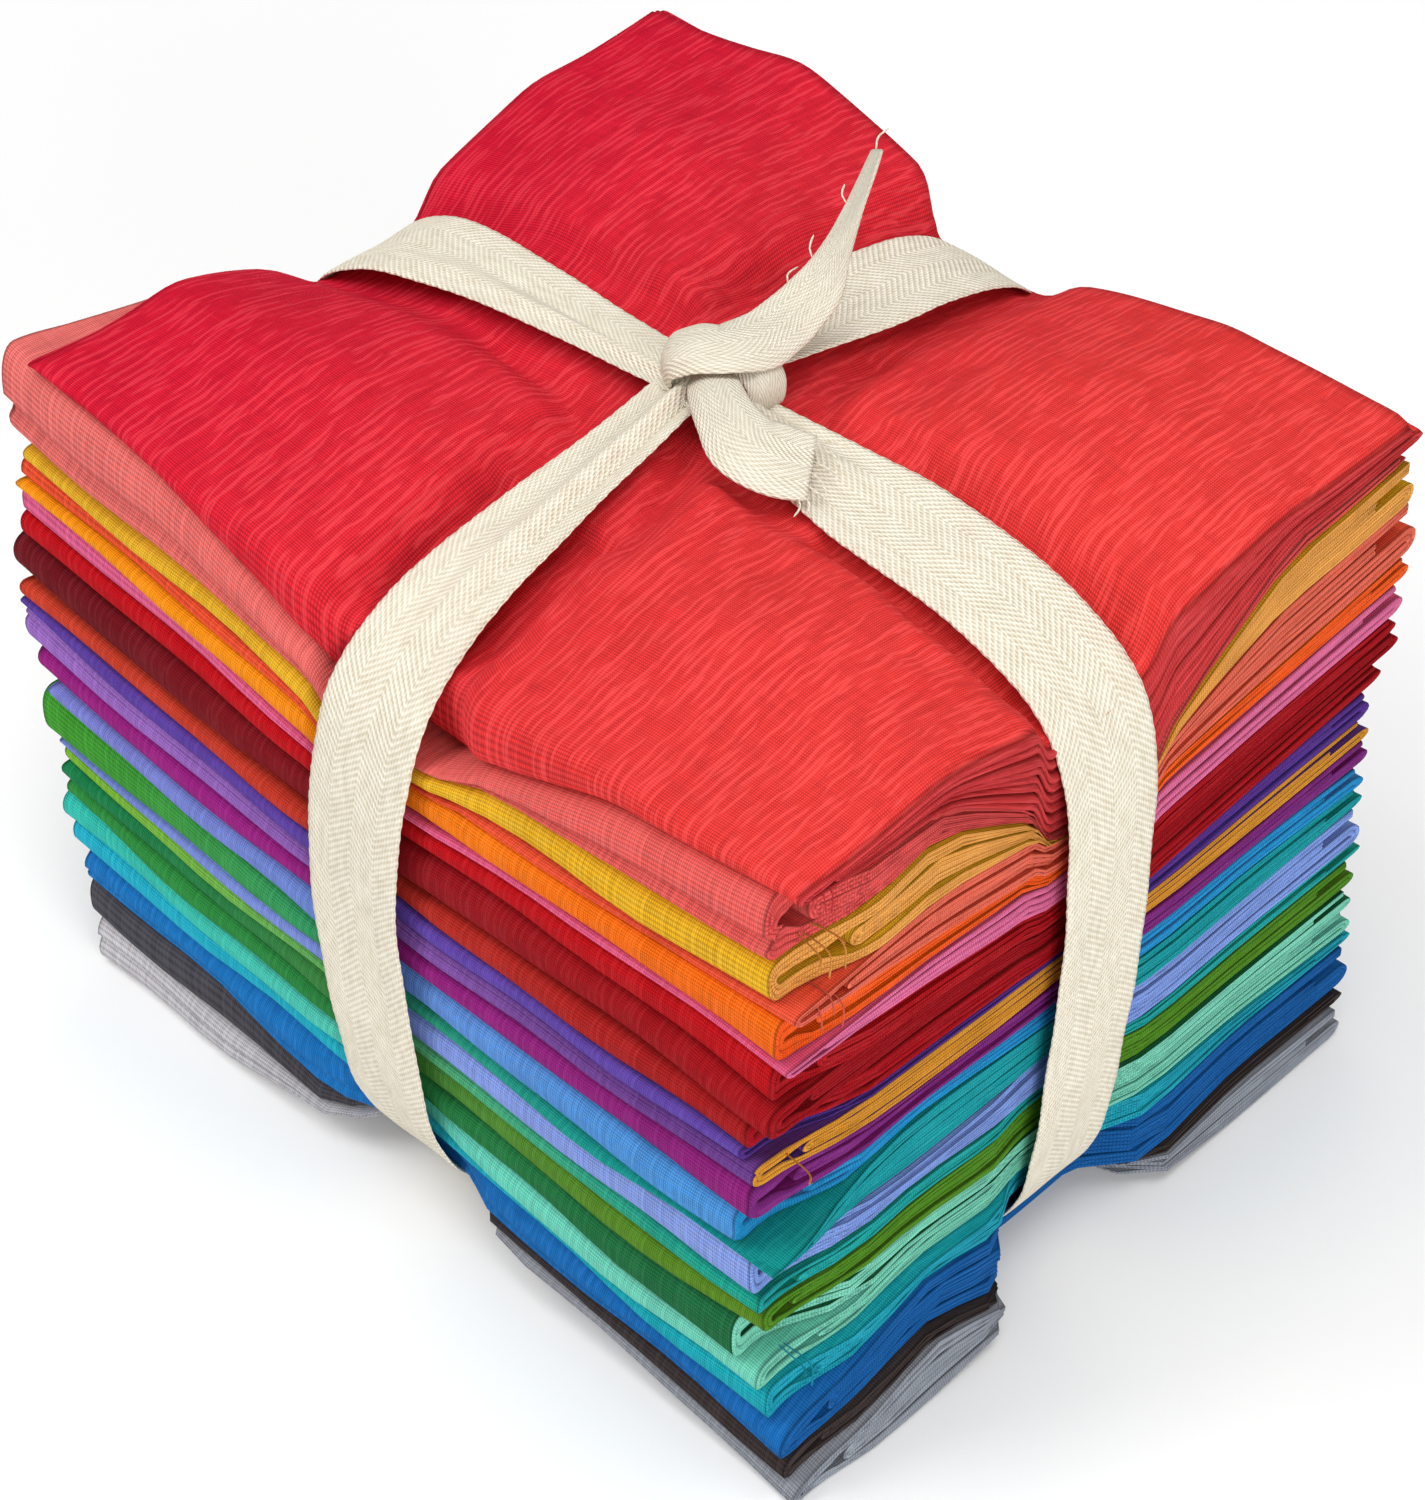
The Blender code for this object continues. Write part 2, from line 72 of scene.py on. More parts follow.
# Each packet, top to bottom: how high the lower edge of its fold shows along the front left
# side, how high it is at the front corner, and how high it shows along the right side from
# there backwards, all at the knots; how far it is tucked in at that corner; its slip to the
# left and the front; how far its left end and its back end stand out; how far its inner
# fold lies behind the outer one; the ridges on the end of one layer; and its dye at the
# left, at the right, and on the ends of its layers. The last one lies on the floor. The
# heights are mostly what an edge finder made of the photo, rounded to half a millimetre, and
# some were changed.
Packet = namedtuple("Packet", "name front corner side tuck slip tip back inset ridges start end edge")
PACKETS = tuple(Packet(*row) for row in (
    ("crimson", (122.5, 117, 111.5, 108, 113.5), 119.0, (117, 116, 117.5, 118.5, 121), 0.5,
     0.5, -2.8, 0, 6.5, 2, "#CC1030", "#DE3A36", "#C83A3C"),
    ("salmon", (104.5, 101, 96, 98, 102.5), 106.5, (113, 110, 109.5, 115, 118.5), 5.5,
     1.5, 3.2, -3, 7, 3, "#E0706A", "#E4605A", "#D04C4A"),
    ("yellow", (101.5, 97.5, 92, 93, 95.5), 99.5, (102, 99.5, 101, 106.5, 109.5), 5,
     1, 1.2, 0, 12, 3, "#DDB12C", "#E3B022", "#DE9C4A"),
    ("red_orange", (98, 94.5, 90, 91, 93.5), 97.5, (95, 92.5, 92.5, 96, 99.5), 0.5,
     0.9, 2.5, 1.8, 9.5, 2, "#E2502E", "#E4563A", "#DC6650"),
    ("amber", (94.5, 90, 85.5, 86, 88), 89.5, (91.5, 89.5, 89.5, 92, 94.5), 3,
     2, 0.9, 2.2, 7.5, 2, "#F29A12", "#F06A10", "#EE5A1A"),
    ("pink", (90.5, 87, 83.5, 84, 86), 88, (87, 84.5, 84.5, 87, 88.5), 1.5,
     1.4, 2.5, 1.7, 7, 1, "#D85F8A", "#DC5E86", "#DA6C98"),
    ("red", (85, 82, 79, 80, 81), 81, (82.5, 80.5, 80.5, 83, 84.5), 4,
     1.8, 2.8, 0.6, 8, 2, "#BE0A18", "#B80C16", "#A40A16"),
    ("maroon", (76.5, 73.5, 71, 71, 72.5), 75.5, (78, 76.5, 76.5, 78.5, 80.5), 3,
     2.8, 4.1, 2.4, 8, 2, "#6C0F1A", "#A01018", "#9A0A16"),
    ("brick", (72, 68.5, 66.5, 65.5, 66), 71, (73.5, 72.5, 72.5, 74.5, 76.5), 7,
     3.2, 1.6, -1.3, 7, 1, "#C8402A", "#A51A1C", "#A20A18"),
    ("blue_violet", (69.5, 65, 62.5, 62, 62), 69.5, (72, 70.5, 69.5, 70, 70.5), 7.5,
     3.4, 2.8, -2.7, 8, 1, "#5B3F9E", "#6248A8", "#56328C"),
    ("lilac", (63, 60, 58, 57.5, 57.5), 65, (66.5, 65.5, 65.5, 65.5, 66), 5,
     3.4, 2.1, -3, 9, 2, "#9A6CC0", "#6B3F8C", "#D0902C"),
    ("magenta", (58.5, 55.5, 54, 53.5, 53), 58, (63.5, 62, 61, 61, 60.5), 5.5,
     3.2, 1.8, -2, 8, 1, "#9A2080", "#8C2078", "#782678"),
    ("sky_blue", (55, 51, 48, 47.5, 46), 51.5, (60.5, 58, 56.5, 56.5, 55.5), 8.5,
     3.6, -2.3, -2.3, 11, 1, "#7C84D0", "#4A94D6", "#2090CA"),
    ("green_teal", (45.5, 43.5, 43, 44, 42), 50, (51, 51, 51, 50.5, 51), 1.5,
     3.4, 0.9, -1.3, 8, 3, "#3F9A2C", "#109890", "#1AA0A6"),
    ("periwinkle", (44.5, 41.5, 39, 39, 36.5), 41.5, (47, 45.5, 44, 43, 43), 6,
     2.6, 0, -0.6, 7.5, 2, "#7A8EDC", "#86A0E2", "#7C9ADC"),
    ("lime_teal", (42, 38.5, 37, 36.5, 33.5), 38.5, (43.5, 42.5, 41.5, 40, 39.5), 5,
     2.2, -1, 0, 7, 1, "#7AB832", "#1AA088", "#1AA09C"),
    ("olive", (38, 34.5, 32, 31, 28.5), 34, (37.5, 36.5, 35.5, 33.5, 33), 4.5,
     2.2, 0, 0, 5.5, 2, "#15804A", "#5A8A20", "#508A20"),
    ("dark_green", (34, 30, 28, 27, 22), 25, (33.5, 32.5, 31, 29, 28), 9.5,
     2.4, 0, 0, 8, 2, "#2F9040", "#1B6B3E", "#76CCB0"),
    ("mint", (28.5, 25.5, 24, 22, 17), 21.5, (29.5, 29, 27.5, 25, 23), 5.5,
     2.2, 1.3, 0, 11, 2, "#34C2B0", "#72D2B8", "#78D0B4"),
    ("teal", (24.5, 21.5, 21, 20, 15.5), 14.5, (24.5, 24, 23, 21, 20), 5,
     1.2, 1.4, 0, 8, 2, "#22B4CC", "#18A8B4", "#1A9CB0"),
    ("blue", (16.5, 15.5, 14.5, 13, 9.5), 8.5, (14.5, 15.5, 15, 11, 10), 2.5,
     1.2, -0.8, 0, 9, 3, "#1A78C0", "#1668B0", "#155FA4"),
    ("charcoal", (9, 7, 9.5, 10, 6.5), 4.5, (10, 12.5, 12.5, 8, 7), 3,
     0.5, 0.5, -1.9, 7, 1, "#4A4A50", "#38302E", "#3A3230"),
    ("grey", None, None, None, 2,
     0.6, -1, -3, 10, 2, "#C4C4C6", "#8C9298", "#8C949C"),
))
LAST = len(PACKETS)  # and the surface under the last one

# The yarns that stand out of the layers' ends beside the near corner, as points along each
FRAYS = {
    "crimson": (
        ((71.0, -59.4, 120.0), (76.4, -60.0, 119.6), (77.8, -61.0, 118.2)),
        ((71.0, -58.4, 119.6), (76.6, -58.6, 119.0), (77.4, -59.6, 117.0)),
    ),
    "yellow": (
        ((71.0, -57.4, 109.6), (77.0, -57.2, 110.4), (78.4, -58.0, 111.2)),
        ((71.0, -58.4, 108.6), (77.2, -59.2, 108.2), (78.2, -60.6, 106.6)),
        ((71.0, -56.6, 109.2), (77.4, -56.8, 108.6), (78.4, -57.8, 106.4)),
        ((71.0, -59.2, 108.8), (76.8, -60.6, 108.8), (78.0, -62.2, 109.4)),
    ),
    "red_orange": (
        ((71.0, -58.0, 99.6), (77.0, -58.6, 100.0), (78.6, -59.8, 99.4)),
        ((71.0, -56.6, 98.6), (77.4, -56.8, 97.6), (78.2, -57.8, 95.4)),
        ((71.0, -59.0, 99.0), (76.6, -60.2, 98.2), (77.6, -61.0, 96.4)),
    ),
    "lilac": (
        ((71.0, -60.8, 68.2), (77.0, -61.8, 68.4), (78.0, -63.2, 69.0)),
    ),
    "teal": (
        ((71.0, -61.0, 27.4), (76.8, -61.8, 27.6), (78.2, -63.2, 28.6)),
        ((71.0, -60.0, 27.0), (77.0, -60.4, 26.4), (78.0, -61.6, 24.8)),
    ),
}

# Where on the way down a fold its dent runs, and how deep it is
FOLD_DENTS = {"salmon": (0.66, 2.2), "grey": (0.42, 1.3), "lilac": (0.30, 0.7), "blue": (0.62, 0.8)}

# Heights of the stack's top and of its underside at the knots, rows front to back
TOP_HEIGHTS = np.array((
    (124.6, 120.8, 113.8, 111.6, 120.0, 122.4),
    (122.0, 124.5, 119.5, 119.5, 125.5, 123.0),
    (109.0, 119.0, 121.0, 121.0, 123.0, 115.5),
    (109.0, 119.5, 121.5, 121.0, 123.0, 115.5),
    (121.0, 125.5, 119.5, 116.5, 126.2, 122.8),
    (122.8, 124.8, 113.0, 110.5, 122.4, 123.2),
))
UNDER_HEIGHTS = np.array((
    (0.0, 0.4, 7.0, 9.0, 4.6, 0.0),
    (0.0, 0.0, 4.2, 4.2, 0.0, 0.0),
    (5.5, 3.4, 3.0, 3.0, 3.2, 3.5),
    (5.5, 3.4, 3.0, 3.0, 3.2, 3.5),
    (0.0, 0.0, 3.2, 3.2, 0.0, 0.0),
    (0.0, 0.0, 5.0, 5.0, 0.0, 0.0),
))
LOBE_KNOTS = ((1, 2, 0), (4, 3, 5))  # a knot in the lobes, and the knots on its two sides

# The edges' heights are those where the camera's rays to them meet two upright planes. A
# place that lies a millimetre in front of its plane shows this much lower on it.
FRONT_PLANE, SIDE_PLANE = -63.1, 76.0
FRONT_SLOPE, SIDE_SLOPE = 1.323, 1.361
FULL_FOLD = 0.35  # how much of an ellipse's hidden part a fold hides, with its fuller corners

# The line of each round of tape from the knot and round: its place along and its height
ROUND_ALONG_X = np.array((
    (0, 123.2), (12, 122.6), (26, 122.0), (38, 121.6), (48, 120.9), (56, 119.4), (63, 117.0),
    (68.5, 113.8), (72.6, 109.4), (75.2, 103.6), (76.7, 95.5), (77.2, 85), (77.2, 72), (76.7, 58),
    (75.9, 44), (74.7, 30), (72.4, 17.5), (67.5, 8.4), (58, 3.8), (40, 2.3), (0, 2.1), (-40, 2.5),
    (-58, 4.0), (-68, 7.8), (-74.6, 15.5), (-77.8, 28), (-79, 44), (-79.4, 60), (-79.2, 76),
    (-78.2, 91), (-75.6, 103), (-70.6, 111.5), (-62.5, 117.2), (-50, 120.6), (-34, 121.9),
    (-16, 122.4),
))
ROUND_ALONG_Y = np.array((
    (0, 124.0), (14, 122.4), (28, 121.2), (41, 119.4), (51, 116.4), (58.6, 112), (63.4, 105.5),
    (65.8, 96), (66.4, 80), (66.5, 60), (66.1, 40), (64.8, 25), (61.5, 12.5), (55, 6.8), (42, 3.7),
    (20, 2.0), (0, 1.2), (-20, 1.5), (-40, 3.4), (-53, 6.6), (-61, 12), (-65.8, 21.5), (-68.6, 36),
    (-69.5, 52), (-69.4, 68), (-68.7, 82), (-67.4, 93), (-64.8, 101.8), (-60.4, 108), (-54, 112.6),
    (-45, 116), (-33, 118.3), (-16, 121.2),
))

# Soft troughs and ridges on the top: from, to, half width, depth (a ridge is negative)
TOP_CREASES = (
    (5.0, -13.0, 13.0, -29.0, 3.2, 2.6),
    (14.0, -12.0, 19.0, -31.0, 3.0, -1.3),
    (22.0, -13.0, 33.0, -24.0, 3.4, 1.3),
    (9.0, 23.0, 14.0, 2.0, 3.0, 2.2),
    (19.0, 12.0, 21.0, 30.0, 3.4, 1.2),
    (-16.0, 20.0, -9.0, 33.0, 3.4, 2.4),
    (-22.0, 14.0, -20.0, 34.0, 3.2, -0.9),
    (-13.0, -13.0, -6.0, -36.0, 3.0, 1.2),
    (-14.0, -16.0, -31.0, -12.0, 3.4, 1.8),
    (-14.0, 6.0, -30.0, 11.0, 3.0, 0.9),
    (24.0, 9.0, 44.0, 12.0, 3.2, 0.8),
    (66.0, -9.0, 52.0, -15.0, 2.4, 0.9),
    (70.0, -16.0, 58.0, -22.0, 2.2, 0.7),
    (64.0, 8.0, 50.0, 15.0, 2.4, 0.7),
)


def in_metres(points):
    """Places in millimetres on the stack, as metres from the model's origin."""
    return (np.asarray(points, float) - (CENTRE_X, CENTRE_Y, 0.0)) * MM


def eased(share):
    """0 before 0 and 1 past 1, and the smooth cubic 3 s^2 - 2 s^3 between."""
    share = np.clip(share, 0.0, 1.0)
    return share * share * (3 - 2 * share)


def bell(places, centre, half_flat, fade):
    """1 within half_flat of the centre, and smoothly down to 0 over a further fade."""
    return 1 - eased((np.abs(places - centre) - half_flat) / fade)


def smooth_through(places, values, wanted):
    """A cubic curve through the values, with slopes taken across each one's neighbours."""
    slopes = np.gradient(values, places)
    cell = np.clip(np.searchsorted(places, wanted) - 1, 0, len(places) - 2)
    width = places[cell + 1] - places[cell]
    t = (wanted - places[cell]) / width
    a, b = values[cell], values[cell + 1]
    m, n = slopes[cell] * width, slopes[cell + 1] * width
    return a + t * m + t**2 * (3 * (b - a) - 2 * m - n) + t**3 * (2 * (a - b) + m + n)


def knot_shares(knots, places):
    """How much each knot counts at each place: straight lines between the knots and on past
    the ends, averaged over HEIGHT_BLUR either way so that they run smoothly."""
    shares = np.zeros(places.shape + (len(knots),))
    offsets = np.linspace(-1, 1, 9)
    weights = (1.2 - np.abs(offsets)) / np.sum(1.2 - np.abs(offsets))
    for offset, weight in zip(offsets * HEIGHT_BLUR, weights):
        moved = places + offset
        cell = np.clip(np.searchsorted(knots, moved) - 1, 0, len(knots) - 2)
        along = (moved - knots[cell]) / (knots[cell + 1] - knots[cell])
        for step, part in ((0, 1 - along), (1, along)):
            index = (cell + step)[..., None]
            here = np.take_along_axis(shares, index, -1)
            np.put_along_axis(shares, index, here + weight * part[..., None], -1)
    return shares


def midpoints_filled(heights):
    """The table with each lobe knot halfway between its neighbours, so that no lobe stands out."""
    filled = heights.copy()
    for lobe, inner, outer in LOBE_KNOTS:
        filled[:, lobe] = (filled[:, inner] + filled[:, outer]) / 2
    for lobe, inner, outer in LOBE_KNOTS:
        filled[lobe] = (filled[inner] + filled[outer]) / 2
    return filled


def upper_run(line):
    """The part of a round of tape above the stack, in order along it: (along, height)."""
    above = line[line[:, 1] > 111.5]
    return above[np.argsort(above[:, 0])]


def side_run(line, positive):
    """The part of a round at one side of the stack, in order of height: (height, along)."""
    beside = line[(line[:, 0] > 0) == positive]
    beside = beside[(np.abs(beside[:, 0]) > 50)]
    return beside[np.argsort(beside[:, 1])][:, ::-1]


UPPER_X, UPPER_Y = upper_run(ROUND_ALONG_X), upper_run(ROUND_ALONG_Y)
TIED_SIDES = {
    "left": side_run(ROUND_ALONG_X, False), "right": side_run(ROUND_ALONG_X, True),
    "front": side_run(ROUND_ALONG_Y, False), "back": side_run(ROUND_ALONG_Y, True),
}


def tied(side, z):
    """Where a side of the stack lies under the tape at a height: just inside the tape's own
    line, and further in where the tape stands off the stack halfway up."""
    run = TIED_SIDES[side]
    outward = 1 if run[0, 1] > 0 else -1
    return np.interp(z, run[:, 0], run[:, 1]) - outward * (1.2 + 1.6 * bell(z, 62.0, 22.0, 22.0))


def spread(index):
    """How far the lowest packets spread: 0, and up to 1 for the last one."""
    return max(0.0, (index - 18) / 4)


def side_place(side, index, places, height):
    """Where a packet's side lies: drawn in, or let out, to where the tape holds it."""
    packet, low = PACKETS[index], spread(index)
    behind = eased((places + 12.5) / 20)  # 0 along the front part of a side, and 1 further back
    if side == "left":
        free = RIGHT_X - STRIP_WIDTH - packet.slip * LEFT_SLIP + BACK_SKEW_LEFT * behind - 1.0 * low
        free = free - packet.tip * (1 - eased((places - FRONT_Y - 4.0) / 40.0))
    elif side == "right":
        free = RIGHT_X - packet.slip * (1 - behind) + BACK_SKEW_RIGHT * behind
        free = free + low * (3.6 - 1.2 * behind)
        free = free - (packet.tuck - packet.slip) * (1 - eased((places - FRONT_Y - 1.0) / 16.0))
    elif side == "front":
        free = FRONT_Y - packet.slip - 1.0 * low + 0 * places
    else:
        lobe = 2.2 * max(0.0, 1 - index / 6) * bell(places, -30.0, 12.0, 26.0)
        free = BACK_Y + 1.0 * low + packet.back + lobe
    held = tied(side, height + TOP_FOLD_HELD.get(side, 0.0) * (index == 0))
    reach = np.where(np.abs(held) > np.abs(free), BULGE_REACH, TIE_REACH)
    centre = TAPE_Y if side in ("left", "right") else TAPE_X
    return free + (held - free) * bell(places, centre, TAPE_HALF - 1, reach)


def fold_reach(thickness):
    """How far a packet's fold bulges out: about half its thickness, within limits."""
    return np.clip(0.55 * thickness, 1.3, 4.0)


def hidden_part(half, reach, slope):
    """How far above its lowest line an elliptical bulge's edge shows from the camera: the
    sight line touches it where tan(angle) is half / (slope * reach)."""
    angle = np.arctan2(half, slope * reach)
    return half * (1 - np.sin(angle)) + slope * reach * (1 - np.cos(angle))


def edge_heights():
    """The real heights of the surfaces between the packets, at the knots along the front
    left side and along the right side, from the heights at which their edges show."""
    heights = []
    for side in ("front", "right"):
        knots, plane, slope, outward, top, floor = {
            "front": (KNOTS_X, FRONT_PLANE, FRONT_SLOPE, -1, TOP_HEIGHTS[0], UNDER_HEIGHTS[0]),
            "right": (KNOTS_Y, SIDE_PLANE, SIDE_SLOPE, 1, TOP_HEIGHTS[:, -1], UNDER_HEIGHTS[:, -1]),
        }[side]
        corner, rest = (5, slice(0, 5)) if side == "front" else (0, slice(1, 6))
        shown, found = [top], [top]
        for i, packet in enumerate(PACKETS[:-1]):
            edge = np.zeros(6)
            edge[rest], edge[corner] = packet.front if side == "front" else packet.side, packet.corner
            shown.append(edge)
            thickness = np.maximum(shown[i] - edge, THINNEST)
            if side == "front":
                hidden = FULL_FOLD * hidden_part(thickness / 2, fold_reach(thickness.mean()), slope)
            else:
                hidden = hidden_part(thickness / 8 / packet.ridges, thickness / 8 / packet.ridges, slope)
            height = edge
            for _ in range(3):
                proud = outward * (side_place(side, i, knots, height) - plane)
                height = edge + slope * proud - hidden
            height[corner] = packet.corner
            most = found[i] - (TOP_THINNEST if i == 0 else THINNEST)
            least = floor + THINNEST * (LAST - 1 - i)
            found.append(np.maximum(np.minimum(height, most), least))
        heights.append(np.array(found + [floor]))
    return heights


FRONT_EDGES, SIDE_EDGES = edge_heights()


def boundary_tables():
    """The heights at the knots of the 24 surfaces that bound the packets, from the top down.

    A packet's thickness at a knot is its thickness along the front left side, changed as
    it changes along the right side, and a third as much on the left. The thicknesses share
    out the stack's height there, and the lobes' crests fade into the stack.
    """
    front, side = -np.diff(FRONT_EDGES, axis=0), -np.diff(SIDE_EDGES, axis=0)
    front[:, -1] = side[:, 0]
    right_share = np.interp(KNOTS_X, KNOTS_X[[0, -1]], [0.33, 1.0])
    change = side - side[:, :1]
    tables = np.maximum(front[:, None, :] + change[:, :, None] * right_share, THINNEST)
    depth = np.concatenate([np.zeros((1, 6, 6)), np.cumsum(tables, axis=0)]) / tables.sum(axis=0)
    plain_top, plain_under = midpoints_filled(TOP_HEIGHTS), midpoints_filled(UNDER_HEIGHTS)
    lobes = np.ones((6, 6))
    lobes[0] = lobes[:, -1] = 0
    surfaces = []
    for i, share in enumerate(depth):
        near_top, near_floor = max(0.0, 1 - i / FINE_TOP), max(0.0, 1 - (LAST - i) / FINE_BOTTOM)
        crests = near_top * (TOP_HEIGHTS - plain_top) + near_floor * (UNDER_HEIGHTS - plain_under)
        inner = plain_top + share * (plain_under - plain_top) + crests
        edge = TOP_HEIGHTS + share * (UNDER_HEIGHTS - TOP_HEIGHTS)
        surfaces.append(np.where(lobes, inner, edge))
    return surfaces


SURFACES = boundary_tables()
# Slow waves of each surface: their ways in x and y, their start and their size
WAVES = np.random.default_rng(23).uniform(-1, 1, (LAST + 1, 4, 4))


def swell(x, y):
    """How the lobes swell up beside the tape: a quick rise off its edge, and a slow fall,
    highest in the lobe at the back left."""
    rise = []
    for places, centre, other, other_centre in ((x, TAPE_X, y, TAPE_Y), (y, TAPE_Y, x, TAPE_X)):
        off = np.abs(places - centre) - TAPE_HALF - 0.5
        pillow = eased(off / 8.0) * (1 - eased((off - 9.0) / 34.0))
        rise.append(pillow * (1 - bell(other, other_centre, TAPE_HALF, 8.0)))
    back_left = eased((TAPE_X - x) / 12.0) * eased((y - TAPE_Y) / 12.0)
    return (rise[0] + rise[1] - rise[0] * rise[1]) * (2.4 + 1.4 * back_left)


def creased(x, y):
    """The troughs and ridges laid on the top: each a soft bell across its line, which fades
    out towards both its ends."""
    total = np.zeros(np.shape(x))
    for x0, y0, x1, y1, half_width, depth in TOP_CREASES:
        length = math.hypot(x1 - x0, y1 - y0)
        along = ((x - x0) * (x1 - x0) + (y - y0) * (y1 - y0)) / length
        across = ((x - x0) * (y1 - y0) - (y - y0) * (x1 - x0)) / length
        past = np.maximum(0, np.maximum(-along, along - length))
        total += depth * np.exp(-(across / half_width) ** 2 - (past / half_width / 1.6) ** 2)
    return total


def raw_boundary(i, x, y):
    """The height of the surface above packet i before the tape presses on it."""
    across, along = knot_shares(KNOTS_X, x), knot_shares(KNOTS_Y, y)
    height = np.einsum("...i,ij,...j->...", along, SURFACES[i], across)
    inside = min(1.0, i / 3) * min(1.0, (LAST - i) / 3)
    for a, b, c, d in WAVES[i]:
        wave = np.sin((x * (1.2 + a) + y * b) / 11.0 + 7 * c)
        height = height + 0.13 * inside * wave * (0.6 + 0.4 * d)
    if i < FINE_TOP:
        fade = 1 - i / FINE_TOP
        height = height + fade * swell(x, y) - fade**2 * creased(x, y)
    return height


def boundary(i, x, y):
    """The height of the surface above packet i (or under the last). Under the tape it is
    pressed down to just under the tape's line, less and less from packet to packet."""
    x, y = np.broadcast_arrays(np.asarray(x, float), np.asarray(y, float))
    height = raw_boundary(i, x, y)
    if i < PRESSED:
        top = height if i == 0 else raw_boundary(0, x, y)
        limit_x = np.interp(x + 3.0 * (x > 30), UPPER_X[:, 0], UPPER_X[:, 1]) - 1.1 - 1.5 * (x > 30)
        limit_y = np.interp(y - 3.5 * (y < -30), UPPER_Y[:, 0], UPPER_Y[:, 1]) - 1.1 - 1.2 * (y < -30)
        under_x = bell(y, TAPE_Y, TAPE_HALF, 6.0)
        under_y = bell(x, TAPE_X, TAPE_HALF, 6.0)
        pressed = np.maximum(np.maximum(0, top - limit_x) * under_x, np.maximum(0, top - limit_y) * under_y)
        height = height - pressed * (1 - i / PRESSED)
    return np.maximum(height, 0.02 + 0.05 * (LAST - i))


class Outline:
    """The four sides of one packet. All but the right one waver by up to half a millimetre."""

    def __init__(self, index):
        self.index = index
        self.phase = np.random.default_rng(100 + index).uniform(0, 2 * math.pi, 6)
        self.heights = {}
        middles = {"left": (-74.0, TAPE_Y), "right": (74.0, TAPE_Y),
                   "front": (TAPE_X, -61.0), "back": (TAPE_X, 61.0)}
        for side, (x, y) in middles.items():
            place = np.array([x]), np.array([y])
            self.heights[side] = float((boundary(index, *place) + boundary(index + 1, *place))[0]) / 2

    def place(self, side, places, first):
        """One side at some places along it."""
        a, b = self.phase[first : first + 2]
        wander = 0.26 * np.sin(places / 9.5 + a) + 0.18 * np.sin(places / 5.3 + b)
        return side_place(side, self.index, places, self.heights[side]) + wander

    def left(self, y):
        return self.place("left", y, 0)

    def right(self, y):
        return side_place("right", self.index, y, self.heights["right"])

    def front(self, x):
        return self.place("front", x, 2)

    def back(self, x):
        return self.place("back", x, 4)


def bent(angles, power=2.6):
    """Sine and cosine of a turn with fuller corners: each to the power 2 / power, signed."""
    sines, cosines = np.sin(angles), np.cos(angles)
    return np.abs(sines) ** (2 / power), np.sign(cosines) * np.abs(cosines) ** (2 / power)


def outer_layer_share(distance, step_in):
    """How much of the depth an outer layer takes: a quarter, and nearly half in front of
    the inner fold, where the two outer layers close up to a narrow slot."""
    return 0.25 + 0.20 * (1 - eased((distance - step_in + 4.0) / 4.0))


def spaced(first, last, middle, fine, coarse):
    """Places from first to last, at fine steps near the middle and coarse ones elsewhere."""
    grid = np.linspace(first, last, 600)
    density = 1 / coarse + (1 / fine - 1 / coarse) * bell(grid, middle, 11.0, 9.0)
    total = np.concatenate([[0], np.cumsum((density[1:] + density[:-1]) / 2 * np.diff(grid))])
    return np.interp(np.linspace(0, total[-1], int(total[-1]) + 2), total, grid)


def folded_path(packet, reach, fine, coarse):
    """The cloth's way through its packet, as the distance from the front and the depth
    share of each of its faces: the top layer from its end at the back, the outer fold, the
    bottom layer, the back fold, the lower inner layer, the inner fold and the upper one.

    The outer fold is half a superellipse, with a dent across it where it has one.
    """
    length = BACK_Y - FRONT_Y
    gap = 0.012
    step_in, inner_reach, back_reach = packet.inset, 1.8, 2.4
    near = np.linspace(reach, step_in + 6.0, 9)
    tape_at = TAPE_Y - FRONT_Y
    far = spaced(step_in + 6.0, length - back_reach, tape_at, fine, coarse)[1:]
    outer_run = np.concatenate([near, far])
    inner_run = spaced(step_in + inner_reach, length - back_reach, tape_at, fine, coarse)
    turn = np.linspace(0, math.pi, 21)[1:-1]
    sines, cosines = bent(turn)
    short_turn = np.linspace(0, math.pi, 9)[1:-1]
    short_sines, short_cosines = bent(short_turn, 2.2)
    dent_depth, dent = FOLD_DENTS.get(packet.name, (0.5, 0.0))
    dented = dent * np.exp(-(((0.5 - 0.5 * cosines) - dent_depth) / 0.07) ** 2)
    pieces = []

    def add(outer_distance, outer_depth, inner_distance, inner_depth):
        shape = np.broadcast_shapes(np.shape(outer_distance), np.shape(inner_distance))
        values = (outer_distance, outer_depth, inner_distance, inner_depth)
        pieces.append([np.broadcast_to(v, shape) for v in values])

    top = outer_run[::-1]
    add(top, gap, top, outer_layer_share(top, step_in) - gap)
    tip = 0.62 * reach
    slot = 0.5 - (outer_layer_share(reach, step_in) - gap)
    add(reach * (1 - sines) + dented, 0.5 - (0.5 - gap) * cosines,
        reach - (reach - tip) * sines + 0.6 * dented, 0.5 - slot * cosines)
    add(outer_run, 1 - gap, outer_run, 1 - outer_layer_share(outer_run, step_in) + gap)
    end = length - back_reach
    add(end + back_reach * short_sines, 0.75 + (0.25 - gap) * short_cosines,
        end + 0.3 * short_sines, 0.75 + gap * short_cosines)
    back_to_front = inner_run[::-1]
    add(back_to_front, 0.5 + gap, back_to_front, 0.75 - gap)
    start = step_in + inner_reach
    add(start - 0.3 * short_sines, 0.5 + gap * short_cosines,
        start - inner_reach * short_sines, 0.5 + (0.25 - gap) * short_cosines)
    last = inner_run[inner_run < end - 3.0]
    add(last, 0.5 - gap, last, 0.25 + gap)
    return [np.concatenate([p[k] for p in pieces]) for k in range(4)]


